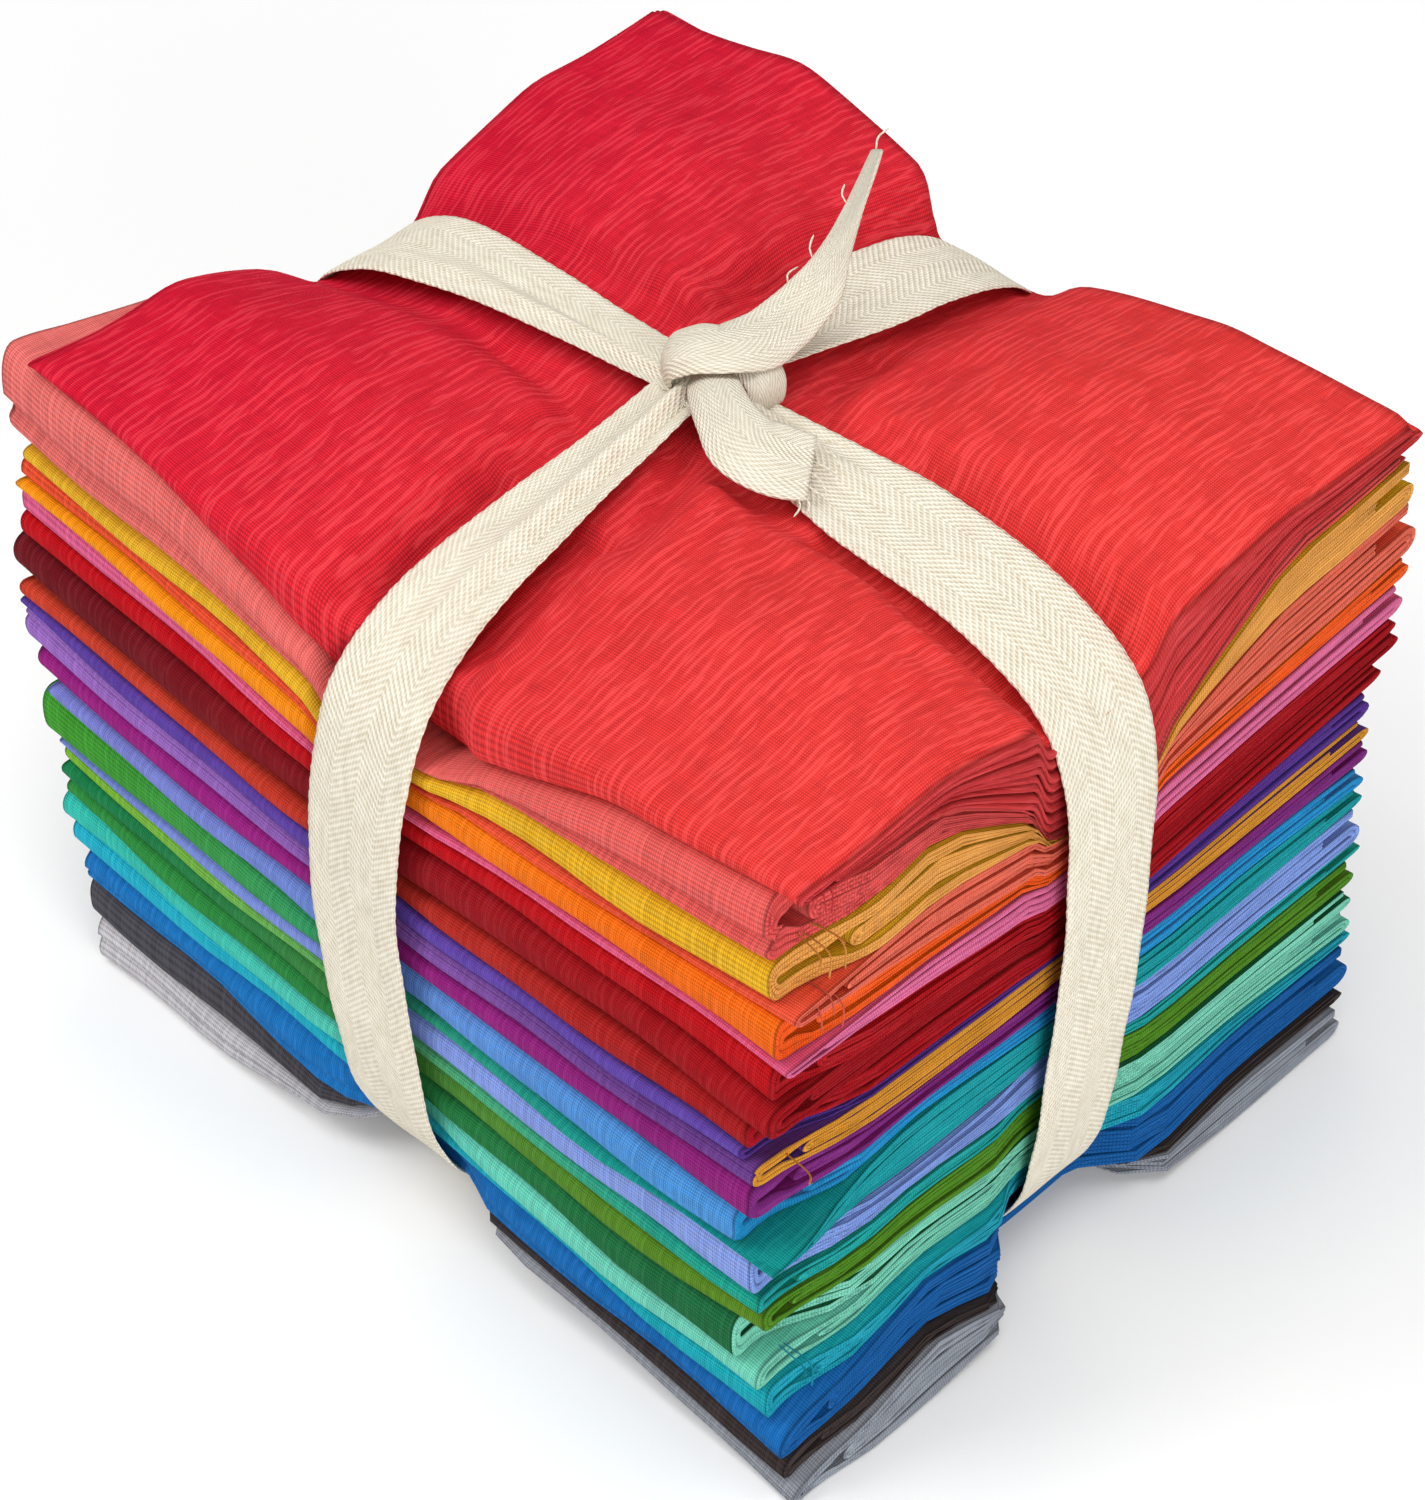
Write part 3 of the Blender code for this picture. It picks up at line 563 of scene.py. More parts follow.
def loop_round(across, ridge_count, ridge_points, heights):
    """One turn round a layer: across its outer face, round the ridges of its end, back
    across its inner face, and round the other end. Returns for each point its place
    across (0 to 1), its share from the outer to the inner face, its bulge, which is half a
    circle for each ridge, and a mark for painted shade: 1 in the grooves beside the ridges
    and where the faces meet the ends, where the cloth's colour is darkened."""
    angles = np.linspace(0, math.pi, ridge_points)[1:]
    steps = np.arange(ridge_count)[:, None]
    share = ((steps + (1 - np.cos(angles)) / 2) / ridge_count).ravel()[:-1]
    bulge = (np.sin(angles) * heights[:, None]).ravel()[:-1]
    groove = np.tile(np.exp(-((math.pi - angles) / 0.45) ** 2), ridge_count)[:-1]
    groove = np.maximum(groove, np.tile(np.exp(-(angles / 0.45) ** 2), ridge_count)[:-1])
    ones = np.ones(len(share))
    u = np.concatenate([across, ones, across[::-1], 0 * ones])
    q = np.concatenate([0 * across, share, 0 * across + 1, share[::-1]])
    b = np.concatenate([0 * across, bulge, 0 * across, -bulge[::-1]])
    face_edge_shade = ((across == 0) | (across == 1)).astype(float)
    g = np.concatenate([face_edge_shade, groove, face_edge_shade, groove[::-1]])
    return u, q, b, g


# The order in which a face's corners are taken to turn it over
TURNED = [1, 0, 3, 2]


def wrapped_faces(rows, columns, closed_rows=False):
    """The four-sided faces of a grid that closes round its columns, and round its rows too
    where asked. With them, for each corner, its place in a grid with one row and one
    column more, so that a pattern can run on over the join."""
    row_count = rows if closed_rows else rows - 1
    r, c = np.meshgrid(np.arange(row_count), np.arange(columns), indexing="ij")
    next_r, next_c = (r + 1) % rows, (c + 1) % columns
    here, beyond = r * columns, next_r * columns
    faces = np.stack([here + c, here + next_c, beyond + next_c, beyond + c], -1)
    wide = columns + 1
    corners = np.stack([r * wide + c, r * wide + c + 1, (r + 1) * wide + c + 1, (r + 1) * wide + c], -1)
    return faces.reshape(-1, 4), corners.reshape(-1, 4)


def end_caps(rows, columns, half):
    """The two ends of such a grid: strips between the points that face each other, where
    half is how many points one face of it has, and across the bulges at both sides. The
    face in the middle of a bulge is a triangle: its last two corners are the same."""
    bulge = (columns - 2 * half) // 2
    i = np.arange(half - 1)
    facing = half + bulge + half - 1
    parts = [np.stack([i, i + 1, facing - i - 1, facing - i], -1)]
    i = np.arange((bulge + 1) // 2)
    for start in (half - 1, facing):
        finish = start + bulge + 1
        parts.append(np.stack([finish - i, start + i, start + i + 1, finish - i - 1], -1))
    cap = np.concatenate(parts)
    faces = np.concatenate([cap[:, TURNED] % columns, cap % columns + (rows - 1) * columns])
    return faces, np.concatenate([cap[:, TURNED], cap + (rows - 1) * (columns + 1)])


def closed_uv(uv):
    """A grid of UV places with one more column, where its first one comes again."""
    return np.concatenate([uv, uv[:, :1]], 1)


def mesh_object(name, points, faces, uv, corners, marks=None):
    """A smooth mesh in metres, with its UV map, given for each corner of each face, and
    attributes for its marks."""
    mesh = bpy.data.meshes.new(name)
    whole = faces[:, 2] != faces[:, 3]
    mesh.from_pydata(in_metres(points.reshape(-1, 3)), [], faces[whole].tolist() + faces[~whole, :3].tolist())
    corners = np.concatenate([corners[whole].ravel(), corners[~whole, :3].ravel()])
    mesh.polygons.foreach_set("use_smooth", np.ones(len(mesh.polygons), bool))
    layer = mesh.uv_layers.new(name="cloth")
    layer.data.foreach_set("uv", uv.reshape(-1, 2)[corners].astype(np.float32).ravel())
    for key, values in (marks or {}).items():
        attribute = mesh.attributes.new(key, "FLOAT", "POINT")
        attribute.data.foreach_set("value", values.ravel().astype(np.float32))
    mesh.update()
    made = bpy.data.objects.new(name, mesh)
    bpy.context.scene.collection.objects.link(made)
    return made


def even_line(points, step, closed=False):
    """Places at even steps on the smooth curve through the points."""
    points = np.asarray(points, float)
    if closed:
        points = np.concatenate([points[-3:], points, points[:4]])
    steps = np.concatenate([[0], np.cumsum(np.linalg.norm(np.diff(points, axis=0), axis=1))])
    first, last = (steps[3], steps[-4]) if closed else (0.0, steps[-1])
    wanted = np.linspace(first, last, int(round((last - first) / step)) + 1)
    if closed:
        wanted = wanted[:-1]
    return np.stack([smooth_through(steps, points[:, k], wanted) for k in range(points.shape[1])], -1)


def inside_out(points, faces):
    """Whether the faces enclose their volume inside out."""
    corners = points.reshape(-1, 3)[faces]
    middle = corners.mean(1) - points.reshape(-1, 3).mean(0)
    crossed = np.cross(corners[:, 2] - corners[:, 0], corners[:, 3] - corners[:, 1])
    return (crossed * middle).sum() < 0


def thread(points, width=0.3):
    """A loose yarn along a smooth line through a few points: a thin four-sided tube that
    narrows to a blunt tip at both ends, as points, faces, UV and corners."""
    line = even_line(points, 0.5)
    along = np.gradient(line, axis=0)
    along /= np.linalg.norm(along, axis=1)[:, None]
    first = np.cross(along, (0.31, 0.22, 0.93))
    first /= np.linalg.norm(first, axis=1)[:, None]
    second = np.cross(along, first)
    size = np.full(len(line), width / 2)
    size[[0, -1]] *= 0.4
    turn = np.arange(4) * math.pi / 2
    ring = first[:, None] * np.cos(turn)[:, None] + second[:, None] * np.sin(turn)[:, None]
    rows = len(line)
    faces, corners = wrapped_faces(rows, 4)
    tip = np.array([[3, 2, 1, 0]])
    faces = np.concatenate([faces, tip, tip[:, ::-1] + (rows - 1) * 4])
    corners = np.concatenate([corners, tip, tip[:, ::-1] + (rows - 1) * 5])
    uv = np.stack(np.meshgrid(np.arange(5) * 0.0001, np.arange(rows) * 0.0005), -1)
    tube = line[:, None] + size[:, None, None] * ring
    if inside_out(tube, faces):
        faces, corners = faces[:, ::-1], corners[:, ::-1]
    return tube, faces, uv, corners


def joined(name, pieces, marks=None):
    """Several closed grids as one mesh."""
    points, faces, uvs, corners, start, uv_start = [], [], [], [], 0, 0
    for piece_points, piece_faces, piece_uv, piece_corners in pieces:
        points.append(piece_points.reshape(-1, 3))
        uvs.append(piece_uv.reshape(-1, 2))
        faces.append(piece_faces + start)
        corners.append(piece_corners + uv_start)
        start += len(points[-1])
        uv_start += len(uvs[-1])
    return mesh_object(name, *(np.concatenate(part) for part in (points, faces, uvs, corners)), marks)


def uneven_ends(random, stations):
    """How far the layers' left ends and right ends stand out at each station. Below 0 they
    fall short."""
    ends = []
    for _ in range(2):
        drawn = np.interp(np.linspace(0, 19, stations), np.arange(20), random.uniform(-0.6, 0.4, 20))
        ends.append(np.convolve(np.pad(drawn, 4, mode="edge"), np.ones(9) / 9, mode="valid"))
    return ends


def fat_quarter(index):
    """One folded fat quarter as a closed sheet: stations along the cloth's path, and at
    each a turn round the layer there. A point lies at its distance from the front edge
    and its depth share between the two surfaces that bound the packet."""
    packet, outline = PACKETS[index], Outline(index)
    top = index == 0
    random = np.random.default_rng(500 + index)
    reach = float(fold_reach((FRONT_EDGES[index] - FRONT_EDGES[index + 1]).mean()))
    d1, s1, d2, s2 = folded_path(packet, reach, *((1.2, 2.2) if top else (2.6, 7.0)))
    tape_at = (TAPE_X - RIGHT_X) / STRIP_WIDTH + 1
    steps = (1.2, 2.0) if top else (2.6, 7.5)
    inner = spaced(0.015 * STRIP_WIDTH, 0.985 * STRIP_WIDTH, tape_at * STRIP_WIDTH, *steps) / STRIP_WIDTH
    across = np.concatenate([[0, 0.0035], inner, [0.9965, 1]])
    heights = random.uniform(0.65, 1.35, packet.ridges)
    u, q, b, g = loop_round(across, packet.ridges, 7, heights)
    distance = d1[:, None] * (1 - q) + d2[:, None] * q
    depth = s1[:, None] * (1 - q) + s2[:, None] * q
    x_plain = RIGHT_X - STRIP_WIDTH * (1 - u) - packet.slip * 0.85
    length = BACK_Y - FRONT_Y
    front, back = outline.front(x_plain), outline.back(x_plain)
    y = front + distance / length * (back - front)
    left_ends, right_ends = uneven_ends(random, len(d1))
    left, right = outline.left(y) - left_ends[:, None], outline.right(y) + right_ends[:, None]
    x_mid = (left + right) / 2
    thick = boundary(index, x_mid, y) - boundary(index + 1, x_mid, y) - SPACING
    layer = thick * np.abs(s2 - s1)[:, None]
    ridge = np.clip(0.45 * layer / packet.ridges, 0.12, 0.85)
    x = left + ridge + u * (right - left - 2 * ridge) + b * ridge
    high = boundary(index, x, y) - SPACING / 2
    low = boundary(index + 1, x, y) + SPACING / 2
    z = high * (1 - depth) + low * depth
    if top:
        # The top layer's folded edges roll over: they fall as a quarter circle does
        for from_edge, size in ((right - ridge - x, 2.6), (x - left - ridge, 1.4)):
            near = np.clip(1 - from_edge / (size * 1.3), 0, 1)
            z = z - size * 0.62 * (1 - np.sqrt(1 - near**2)) * (1 - depth)
    points = np.stack([x, y, z], -1)
    middles = points[:, [12]].mean(1)
    lengths = np.concatenate([[0], np.cumsum(np.linalg.norm(np.diff(middles, axis=0), axis=1))])
    round_end = np.sign(b) * layer * 0.9 * (1 - np.abs(1 - 2 * q))
    uv = np.stack([(x + round_end) * MM, np.broadcast_to(lengths[:, None] * MM, x.shape)], -1)
    # The mark for the right ends' own dye, and the mark for painted shade in the grooves of the ends and
    # where the faces meet them
    marks = {"layer_end": np.broadcast_to((b > 0).astype(float), x.shape),
             "groove": np.broadcast_to(g, x.shape)}
    faces, corners = wrapped_faces(*x.shape)
    cap_faces, cap_corners = end_caps(*x.shape, len(across))
    name = f"folded_cloth_{index + 1:02d}_{packet.name}"
    faces = np.concatenate([faces, cap_faces])[:, TURNED]
    corners = np.concatenate([corners, cap_corners])[:, TURNED]
    parts = [(points, faces, closed_uv(uv), corners)]
    for line in FRAYS.get(packet.name, ()):
        tube = thread(line)
        parts.append(tube)
        for key, value in (("layer_end", 1.0), ("groove", 0.0)):
            marks[key] = np.append(marks[key], np.full(len(tube[0]) * 4, value))
    return joined(name, parts, marks)


def solid_band(centre, across, lift, closed):
    """A band of cloth round its middle surface, as points, faces, UV and corners.

    centre is the line, across the vector from it to one selvedge at each station, and lift
    how high each point across the band lies along its normal. The band's two faces lie half
    a thickness either side, and close up at the selvedges.
    """
    count = lift.shape[1]
    share = np.linspace(-1, 1, count)
    along = np.roll(centre, -1, 0) - np.roll(centre, 1, 0) if closed else np.gradient(centre, axis=0)
    along /= np.linalg.norm(along, axis=1)[:, None]
    width = np.linalg.norm(across, axis=1)
    sideways = across / width[:, None]
    sideways = sideways - (sideways * along).sum(1)[:, None] * along
    sideways /= np.linalg.norm(sideways, axis=1)[:, None]
    normal = np.cross(along, sideways)
    normal *= np.sign(normal[0 if closed else len(normal) // 2, 2] or 1.0)
    u = width[:, None] * share
    slope_u, slope_w = np.gradient(u, axis=1), np.gradient(lift, axis=1)
    size = np.hypot(slope_u, slope_w)
    half = TAPE_THICKNESS / 2 * (0.25 + 0.75 * (1 - np.abs(share) ** 14) ** 0.5)
    turned = []
    for side in (1, -1):
        off_u, off_w = u - side * half * slope_w / size, lift + side * half * slope_u / size
        face = centre[:, None] + off_u[..., None] * sideways[:, None] + off_w[..., None] * normal[:, None]
        turned.append(face if side > 0 else face[:, ::-1])
    points = np.concatenate(turned, 1)
    steps = np.concatenate([[0], np.cumsum(np.linalg.norm(np.diff(centre, axis=0), axis=1))]) * MM
    wide = np.concatenate([share, share[::-1], share[:1]]) * TAPE_WIDTH / 2 * MM
    if closed:
        steps = np.append(steps, steps[-1] + steps[1])
    uv = np.stack(np.broadcast_arrays(wide[None, :], steps[:, None]), -1)
    faces, corners = wrapped_faces(len(centre), 2 * count, closed)
    if not closed:
        cap_faces, cap_corners = end_caps(len(centre), 2 * count, count)
        faces, corners = np.concatenate([faces, cap_faces]), np.concatenate([corners, cap_corners])
    if inside_out(points, faces):
        faces, corners = faces[:, ::-1], corners[:, ::-1]
    return points, faces, uv, corners


def gathered(share, gather, crest, rolled):
    """The lift of the tape's section where the knot draws it together: a pleat raised at
    the crest, a furrow beside it, and selvedges that turn up."""
    pleat = 1.9 * np.exp(-(((share - crest) / 0.24) ** 2))
    furrow = 0.6 * np.exp(-(((share - crest - 0.42) / 0.18) ** 2))
    return gather * (pleat - furrow + 0.7 + rolled * share**2)


def tape_round(line2, along_x, arms):
    """One round of tape along its line. Near the knot each of its two arms draws in and
    pleats, over its own reach and round its own crest."""
    line2 = even_line(line2, 0.66, closed=True)
    along, height = line2.T
    fixed = np.full(len(along), TAPE_Y if along_x else TAPE_X)
    if not along_x:
        # On the front left side the tape lies a little to the left, halfway up
        fixed = fixed - 2.3 * np.exp(-(((height - 72) / 22) ** 2)) * (along < -50)
    line = np.stack([along, fixed, height] if along_x else [fixed, along, height], -1)
    sideways = np.array([0.0, 1.0, 0.0] if along_x else [1.0, 0.0, 0.0])
    steps = np.concatenate([[0], np.cumsum(np.linalg.norm(np.diff(line, axis=0), axis=1))])
    share = np.linspace(-1, 1, TAPE_POINTS)
    lift, narrow = np.zeros((len(line), TAPE_POINTS)), np.zeros(len(line))
    for distance, (reach, most, crest, rolled) in zip((steps, steps[-1] - steps), arms):
        gather = most * (1 - eased(distance / reach)) ** 0.8
        fade = np.clip(gather, 0, 1)[:, None]
        lift += gathered(share, fade, crest, rolled)
        narrow = np.maximum(narrow, gather)
    half = TAPE_WIDTH / 2 * (1 - 0.52 * narrow) + 0.07 * np.sin(steps * 2 * math.pi / 2.6)
    waver = 0.12 * np.sin(steps[:, None] / 7.0 + 2.2 * share)
    waver = waver + 0.08 * np.sin(steps[:, None] / 3.1 - 4.0 * share)
    return solid_band(line, sideways * half[:, None], lift + waver, True)


def ribbon(edges):
    """A free run of tape between its two selvedges, through stations of one selvedge's
    place, the other's, and how far the tape cups up between them."""
    rows = np.array(edges, float)
    middle = (rows[:, :3] + rows[:, 3:6]) / 2
    steps = np.concatenate([[0], np.cumsum(np.linalg.norm(np.diff(middle, axis=0), axis=1))])
    even = np.linspace(0, steps[-1], int(steps[-1] / 0.6) + 1)
    values = np.stack([smooth_through(steps, rows[:, k], even) for k in range(7)], -1)
    centre, across = (values[:, :3] + values[:, 3:6]) / 2, (values[:, 3:6] - values[:, :3]) / 2
    share = np.linspace(-1, 1, TAPE_POINTS)
    lift = values[:, 6:] * (1 - share**2) + 0.10 * np.sin(even[:, None] / 2.9 + 3 * share)
    return solid_band(centre, across, lift, False)


# The knot's three runs of tape: each station gives one selvedge, the other, and the cup
BACK_RUN = (
    (2.0, -6.0, 123.2, -3.0, 3.0, 122.6, 0.4),
    (-3.6, -6.4, 124.6, -8.4, 0.6, 123.6, 0.8),
    (-2.2, -6.2, 127.4, -9.0, -0.4, 126.6, 1.4),
    (1.2, -5.2, 129.4, -7.0, 1.0, 129.0, 1.6),
    (5.0, -2.4, 129.8, -3.6, 3.0, 130.2, 1.2),
    (6.8, 1.4, 129.0, -2.4, 6.6, 130.2, 1.0),
    (6.2, 6.6, 128.2, -1.7, 11.0, 130.2, 0.7),
    (5.5, 12.0, 128.0, -1.9, 15.2, 131.0, 0.5),
    (5.2, 16.5, 129.6, -1.3, 18.8, 133.1, 0.3),
    (2.7, 21.6, 133.2, -1.2, 23.5, 135.5, 0.2),
    (0.9, 25.7, 136.8, -1.9, 28.2, 138.1, 0.1),
    (-0.9, 30.6, 140.0, -3.2, 32.6, 140.5, 0.1),
    (-3.4, 35.9, 142.6, -5.0, 37.2, 142.8, 0.0),
)
FRONT_RUN = (
    (-6.0, -1.0, 124.0, 0.0, 5.0, 124.6, 0.6),
    (-1.6, -4.6, 125.6, 3.4, 0.4, 127.0, 1.4),
    (2.0, -8.0, 126.4, 7.0, -2.4, 128.4, 1.5),
    (7.6, -12.0, 126.6, 11.4, -4.2, 128.2, 1.2),
    (14.2, -15.3, 126.0, 15.8, -3.8, 127.4, 0.9),
    (20.6, -14.4, 125.2, 18.6, -1.7, 126.4, 0.5),
    (25.6, -10.8, 124.2, 20.4, -0.2, 125.6, 0.2),
)
RIGHT_WRAP = (
    (-1.0, 1.0, 127.0, 2.5, 8.0, 127.0, 0.8),
    (3.6, -0.6, 127.9, 5.4, 6.4, 127.8, 1.0),
    (6.6, -1.2, 126.6, 8.2, 5.0, 126.4, 0.8),
    (7.4, -1.6, 124.2, 8.8, 3.8, 124.0, 0.5),
    (5.5, -1.2, 122.4, 6.5, 3.0, 122.2, 0.3),
)


# The yarns that stand out of the tape's cut end, and hairs on its longer end's selvedge
TAPE_FRAYS = (
    ((20.8, -0.4, 125.4), (22.4, 0.2, 125.8), (23.6, 1.4, 125.2)),
    ((21.6, -2.2, 125.4), (23.6, -1.8, 125.6), (25.4, -2.4, 124.8)),
    ((22.6, -4.4, 125.2), (24.8, -4.2, 125.2), (26.2, -3.4, 124.4)),
    ((23.4, -6.2, 125.0), (25.6, -6.4, 124.8), (27.4, -7.2, 124.0)),
    ((24.2, -8.0, 124.6), (26.2, -8.2, 124.4), (27.6, -7.6, 123.8)),
    ((25.0, -9.8, 124.4), (27.0, -10.2, 124.0), (28.0, -11.4, 123.4)),
    ((25.4, -10.6, 124.2), (26.8, -11.8, 124.0), (27.0, -13.2, 123.4)),
    ((-1.8, 16.0, 131.4), (-3.0, 17.2, 132.0), (-2.6, 18.8, 132.6)),
    ((-1.4, 20.4, 134.0), (-2.8, 21.4, 134.6), (-3.4, 22.8, 135.6)),
    ((-2.4, 28.6, 138.4), (-3.8, 29.0, 139.2), (-4.6, 30.4, 139.8)),
    ((-4.2, 36.4, 142.7), (-5.4, 38.2, 143.6), (-5.2, 40.2, 144.2)),
)


# The pitches of the cotton's threads and of the tape's ribs and stitches, in metres
WARP_PITCH, WEFT_PITCH = 0.000355, 0.0004
RIB_PITCH, STITCH_PITCH = 0.00118, 0.00050
HERRINGBONE_TURN = 0.00455  # across the tape, from where its ribs turn back to where they do next


def linear_colour(code):
    """The linear RGBA value of a hex colour."""
    values = [int(code[i : i + 2], 16) / 255 for i in (1, 3, 5)]
    return [v / 12.92 if v < 0.04045 else ((v + 0.055) / 1.055) ** 2.4 for v in values] + [1.0]


def node(tree, kind, settings=None, inputs=None):
    """Add a node with its settings, and give each input a value or a link."""
    made = tree.nodes.new(kind)
    for key, value in (settings or {}).items():
        setattr(made, key, value)
    for key, value in (inputs or {}).items():
        if isinstance(value, bpy.types.NodeSocket):
            tree.links.new(value, made.inputs[key])
        else:
            made.inputs[key].default_value = value
    return made


def math_node(tree, operation, *values, clamp=False):
    """The result of one sum on up to three values."""
    settings = {"operation": operation, "use_clamp": clamp}
    return node(tree, "ShaderNodeMath", settings, dict(enumerate(values))).outputs[0]


def ranged(tree, value, low, high, to_low=0.0, to_high=1.0):
    """A value brought from one range to another and held inside it."""
    inputs = {"Value": value, "From Min": low, "From Max": high, "To Min": to_low, "To Max": to_high}
    return node(tree, "ShaderNodeMapRange", {}, inputs).outputs[0]


def mixed(tree, share, first, second, blend="MIX"):
    """Two colours mixed by a share."""
    settings = {"data_type": "RGBA", "blend_type": blend}
    return node(tree, "ShaderNodeMix", settings, {0: share, 6: first, 7: second}).outputs[2]


def scaled(tree, vector, scale):
    """A vector with each of its parts multiplied."""
    return node(tree, "ShaderNodeVectorMath", {"operation": "MULTIPLY"}, {0: vector, 1: scale}).outputs[0]


def noise(tree, vector, detail=2.0, roughness=0.5):
    """Soft noise about one unit across."""
    inputs = {"Vector": vector, "Scale": 1.0, "Detail": detail, "Roughness": roughness}
    return node(tree, "ShaderNodeTexNoise", {}, inputs).outputs["Fac"]


def grey(tree, value):
    """A grey colour as bright as a value."""
    return node(tree, "ShaderNodeCombineXYZ", {}, {0: value, 1: value, 2: value}).outputs[0]


def new_material(name, roughness, sheen):
    """An empty material, its shader and its node tree."""
    made = bpy.data.materials.new(name)
    made.use_nodes = True
    tree = made.node_tree
    shader = tree.nodes["Principled BSDF"]
    shader.inputs["Roughness"].default_value = roughness
    shader.inputs["Specular IOR Level"].default_value = 0.06
    shader.inputs["Sheen Weight"].default_value = sheen
    shader.inputs["Sheen Roughness"].default_value = 0.45
    return made, tree, shader


def streaks_along(tree, cloth):
    """Pale streaks along the cloth, about half a millimetre wide and a centimetre or two
    long: two sets of wavering lines, each broken up where a second noise is low."""
    across = node(tree, "ShaderNodeSeparateXYZ", {}, {0: cloth}).outputs[0]
    total = None
    for pitch, waver, wide, long in ((0.0017, 1.2, 330.0, 95.0), (0.0013, 1.5, 460.0, 130.0)):
        bend = noise(tree, scaled(tree, cloth, (wide * 0.4, long * 1.2, 0.0)), 1.0, 0.4)
        turns = math_node(tree, "MULTIPLY_ADD", bend, waver, math_node(tree, "DIVIDE", across, pitch))
        away = math_node(tree, "ABSOLUTE", math_node(tree, "SUBTRACT", math_node(tree, "FRACT", turns), 0.5))
        part = ranged(tree, away, 0.24, 0.06)
        broken = noise(tree, scaled(tree, cloth, (wide, long, 0.0)), 1.0, 0.4)
        part = math_node(tree, "MULTIPLY", part, ranged(tree, broken, 0.47, 0.56))
        total = part if total is None else math_node(tree, "MAXIMUM", total, part)
    return total


def quilting_cotton(packet, streak_share, frosting):
    """Dyed plain-weave cotton: the dye runs from one colour to the next across the cloth,
    with pale frosted threads that carry a painted highlight where they cross, painted shade
    in the gaps between them and in the grooves of the layers' ends, and pale streaks along it."""
    made, tree, shader = new_material(f"quilting cotton {packet.name}", 0.85, 0.0)
    place = node(tree, "ShaderNodeTexCoord")
    cloth = node(tree, "ShaderNodeUVMap", {"uv_map": "cloth"}).outputs[0]
    x = node(tree, "ShaderNodeSeparateXYZ", {}, {0: place.outputs["Object"]}).outputs[0]
    share = node(tree, "ShaderNodeMapRange", {"interpolation_type": "SMOOTHSTEP"},
                 {"Value": x, "From Min": -0.078, "From Max": 0.070}).outputs[0]
    dye = mixed(tree, share, linear_colour(packet.start), linear_colour(packet.end))
    end = node(tree, "ShaderNodeAttribute", {"attribute_name": "layer_end"}).outputs["Fac"]
    dye = mixed(tree, end, dye, linear_colour(packet.edge))
    streaked = streaks_along(tree, cloth)
    # Each thread goes over one and under the next: their crossings are painted paler, a painted highlight
    # over pale fibre, and the gaps between them darker, as painted shade
    threads = scaled(tree, cloth, (math.pi / WARP_PITCH, math.pi / WEFT_PITCH, 0.0))
    turns = node(tree, "ShaderNodeSeparateXYZ", {}, {0: threads})
    warp, weft = (math_node(tree, "SINE", turns.outputs[k]) for k in (0, 1))
    dots = math_node(tree, "ABSOLUTE", math_node(tree, "MULTIPLY", warp, weft))
    warp_slubs = noise(tree, scaled(tree, cloth, (1500.0, 110.0, 0.0)), 1.0)
    weft_slubs = noise(tree, scaled(tree, cloth, (110.0, 1400.0, 0.0)), 1.0)
    slubs = math_node(tree, "MULTIPLY_ADD", warp_slubs, 0.65, math_node(tree, "MULTIPLY", weft_slubs, 0.35))
    lifted = math_node(tree, "MULTIPLY_ADD", slubs, 0.9, -0.42)
    frost_and_sheen = math_node(tree, "MULTIPLY_ADD", dots, 0.85, lifted, clamp=True)
    gap_shade_colour = mixed(tree, 1.0, dye, (0.60, 0.54, 0.58, 1.0), "MULTIPLY")
    pale = mixed(tree, 1.0, dye, (1.34, 1.34, 1.34, 1.0), "MULTIPLY")
    pale = mixed(tree, 1.0, pale, (0.006, 0.006, 0.006, 1.0), "ADD")
    streak = mixed(tree, 1.0, pale, (frosting, frosting, frosting, 1.0), "ADD")
    colour = mixed(tree, frost_and_sheen, gap_shade_colour, pale)
    colour = mixed(tree, math_node(tree, "MULTIPLY", streaked, streak_share), colour, streak)
    blotches = noise(tree, scaled(tree, cloth, (60.0, 45.0, 0.0)), 3.0)
    # Painted shade: the colour darkens in the grooves between the ends' ridges and where the faces meet the
    # ends, over random blotches of the cloth's own tone
    groove = node(tree, "ShaderNodeAttribute", {"attribute_name": "groove"}).outputs["Fac"]
    light = math_node(tree, "MULTIPLY_ADD", blotches, 0.24, 0.88)
    light = math_node(tree, "MULTIPLY", light, math_node(tree, "MULTIPLY_ADD", groove, -0.60, 1.0))
    colour = mixed(tree, 1.0, colour, grey(tree, light), "MULTIPLY")
    tree.links.new(colour, shader.inputs["Base Color"])
    height = math_node(tree, "ADD", dots, math_node(tree, "MULTIPLY", slubs, 0.8))
    bump = node(tree, "ShaderNodeBump", {}, {"Strength": 0.45, "Distance": 0.00012, "Height": height})
    tree.links.new(bump.outputs[0], shader.inputs["Normal"])
    return made


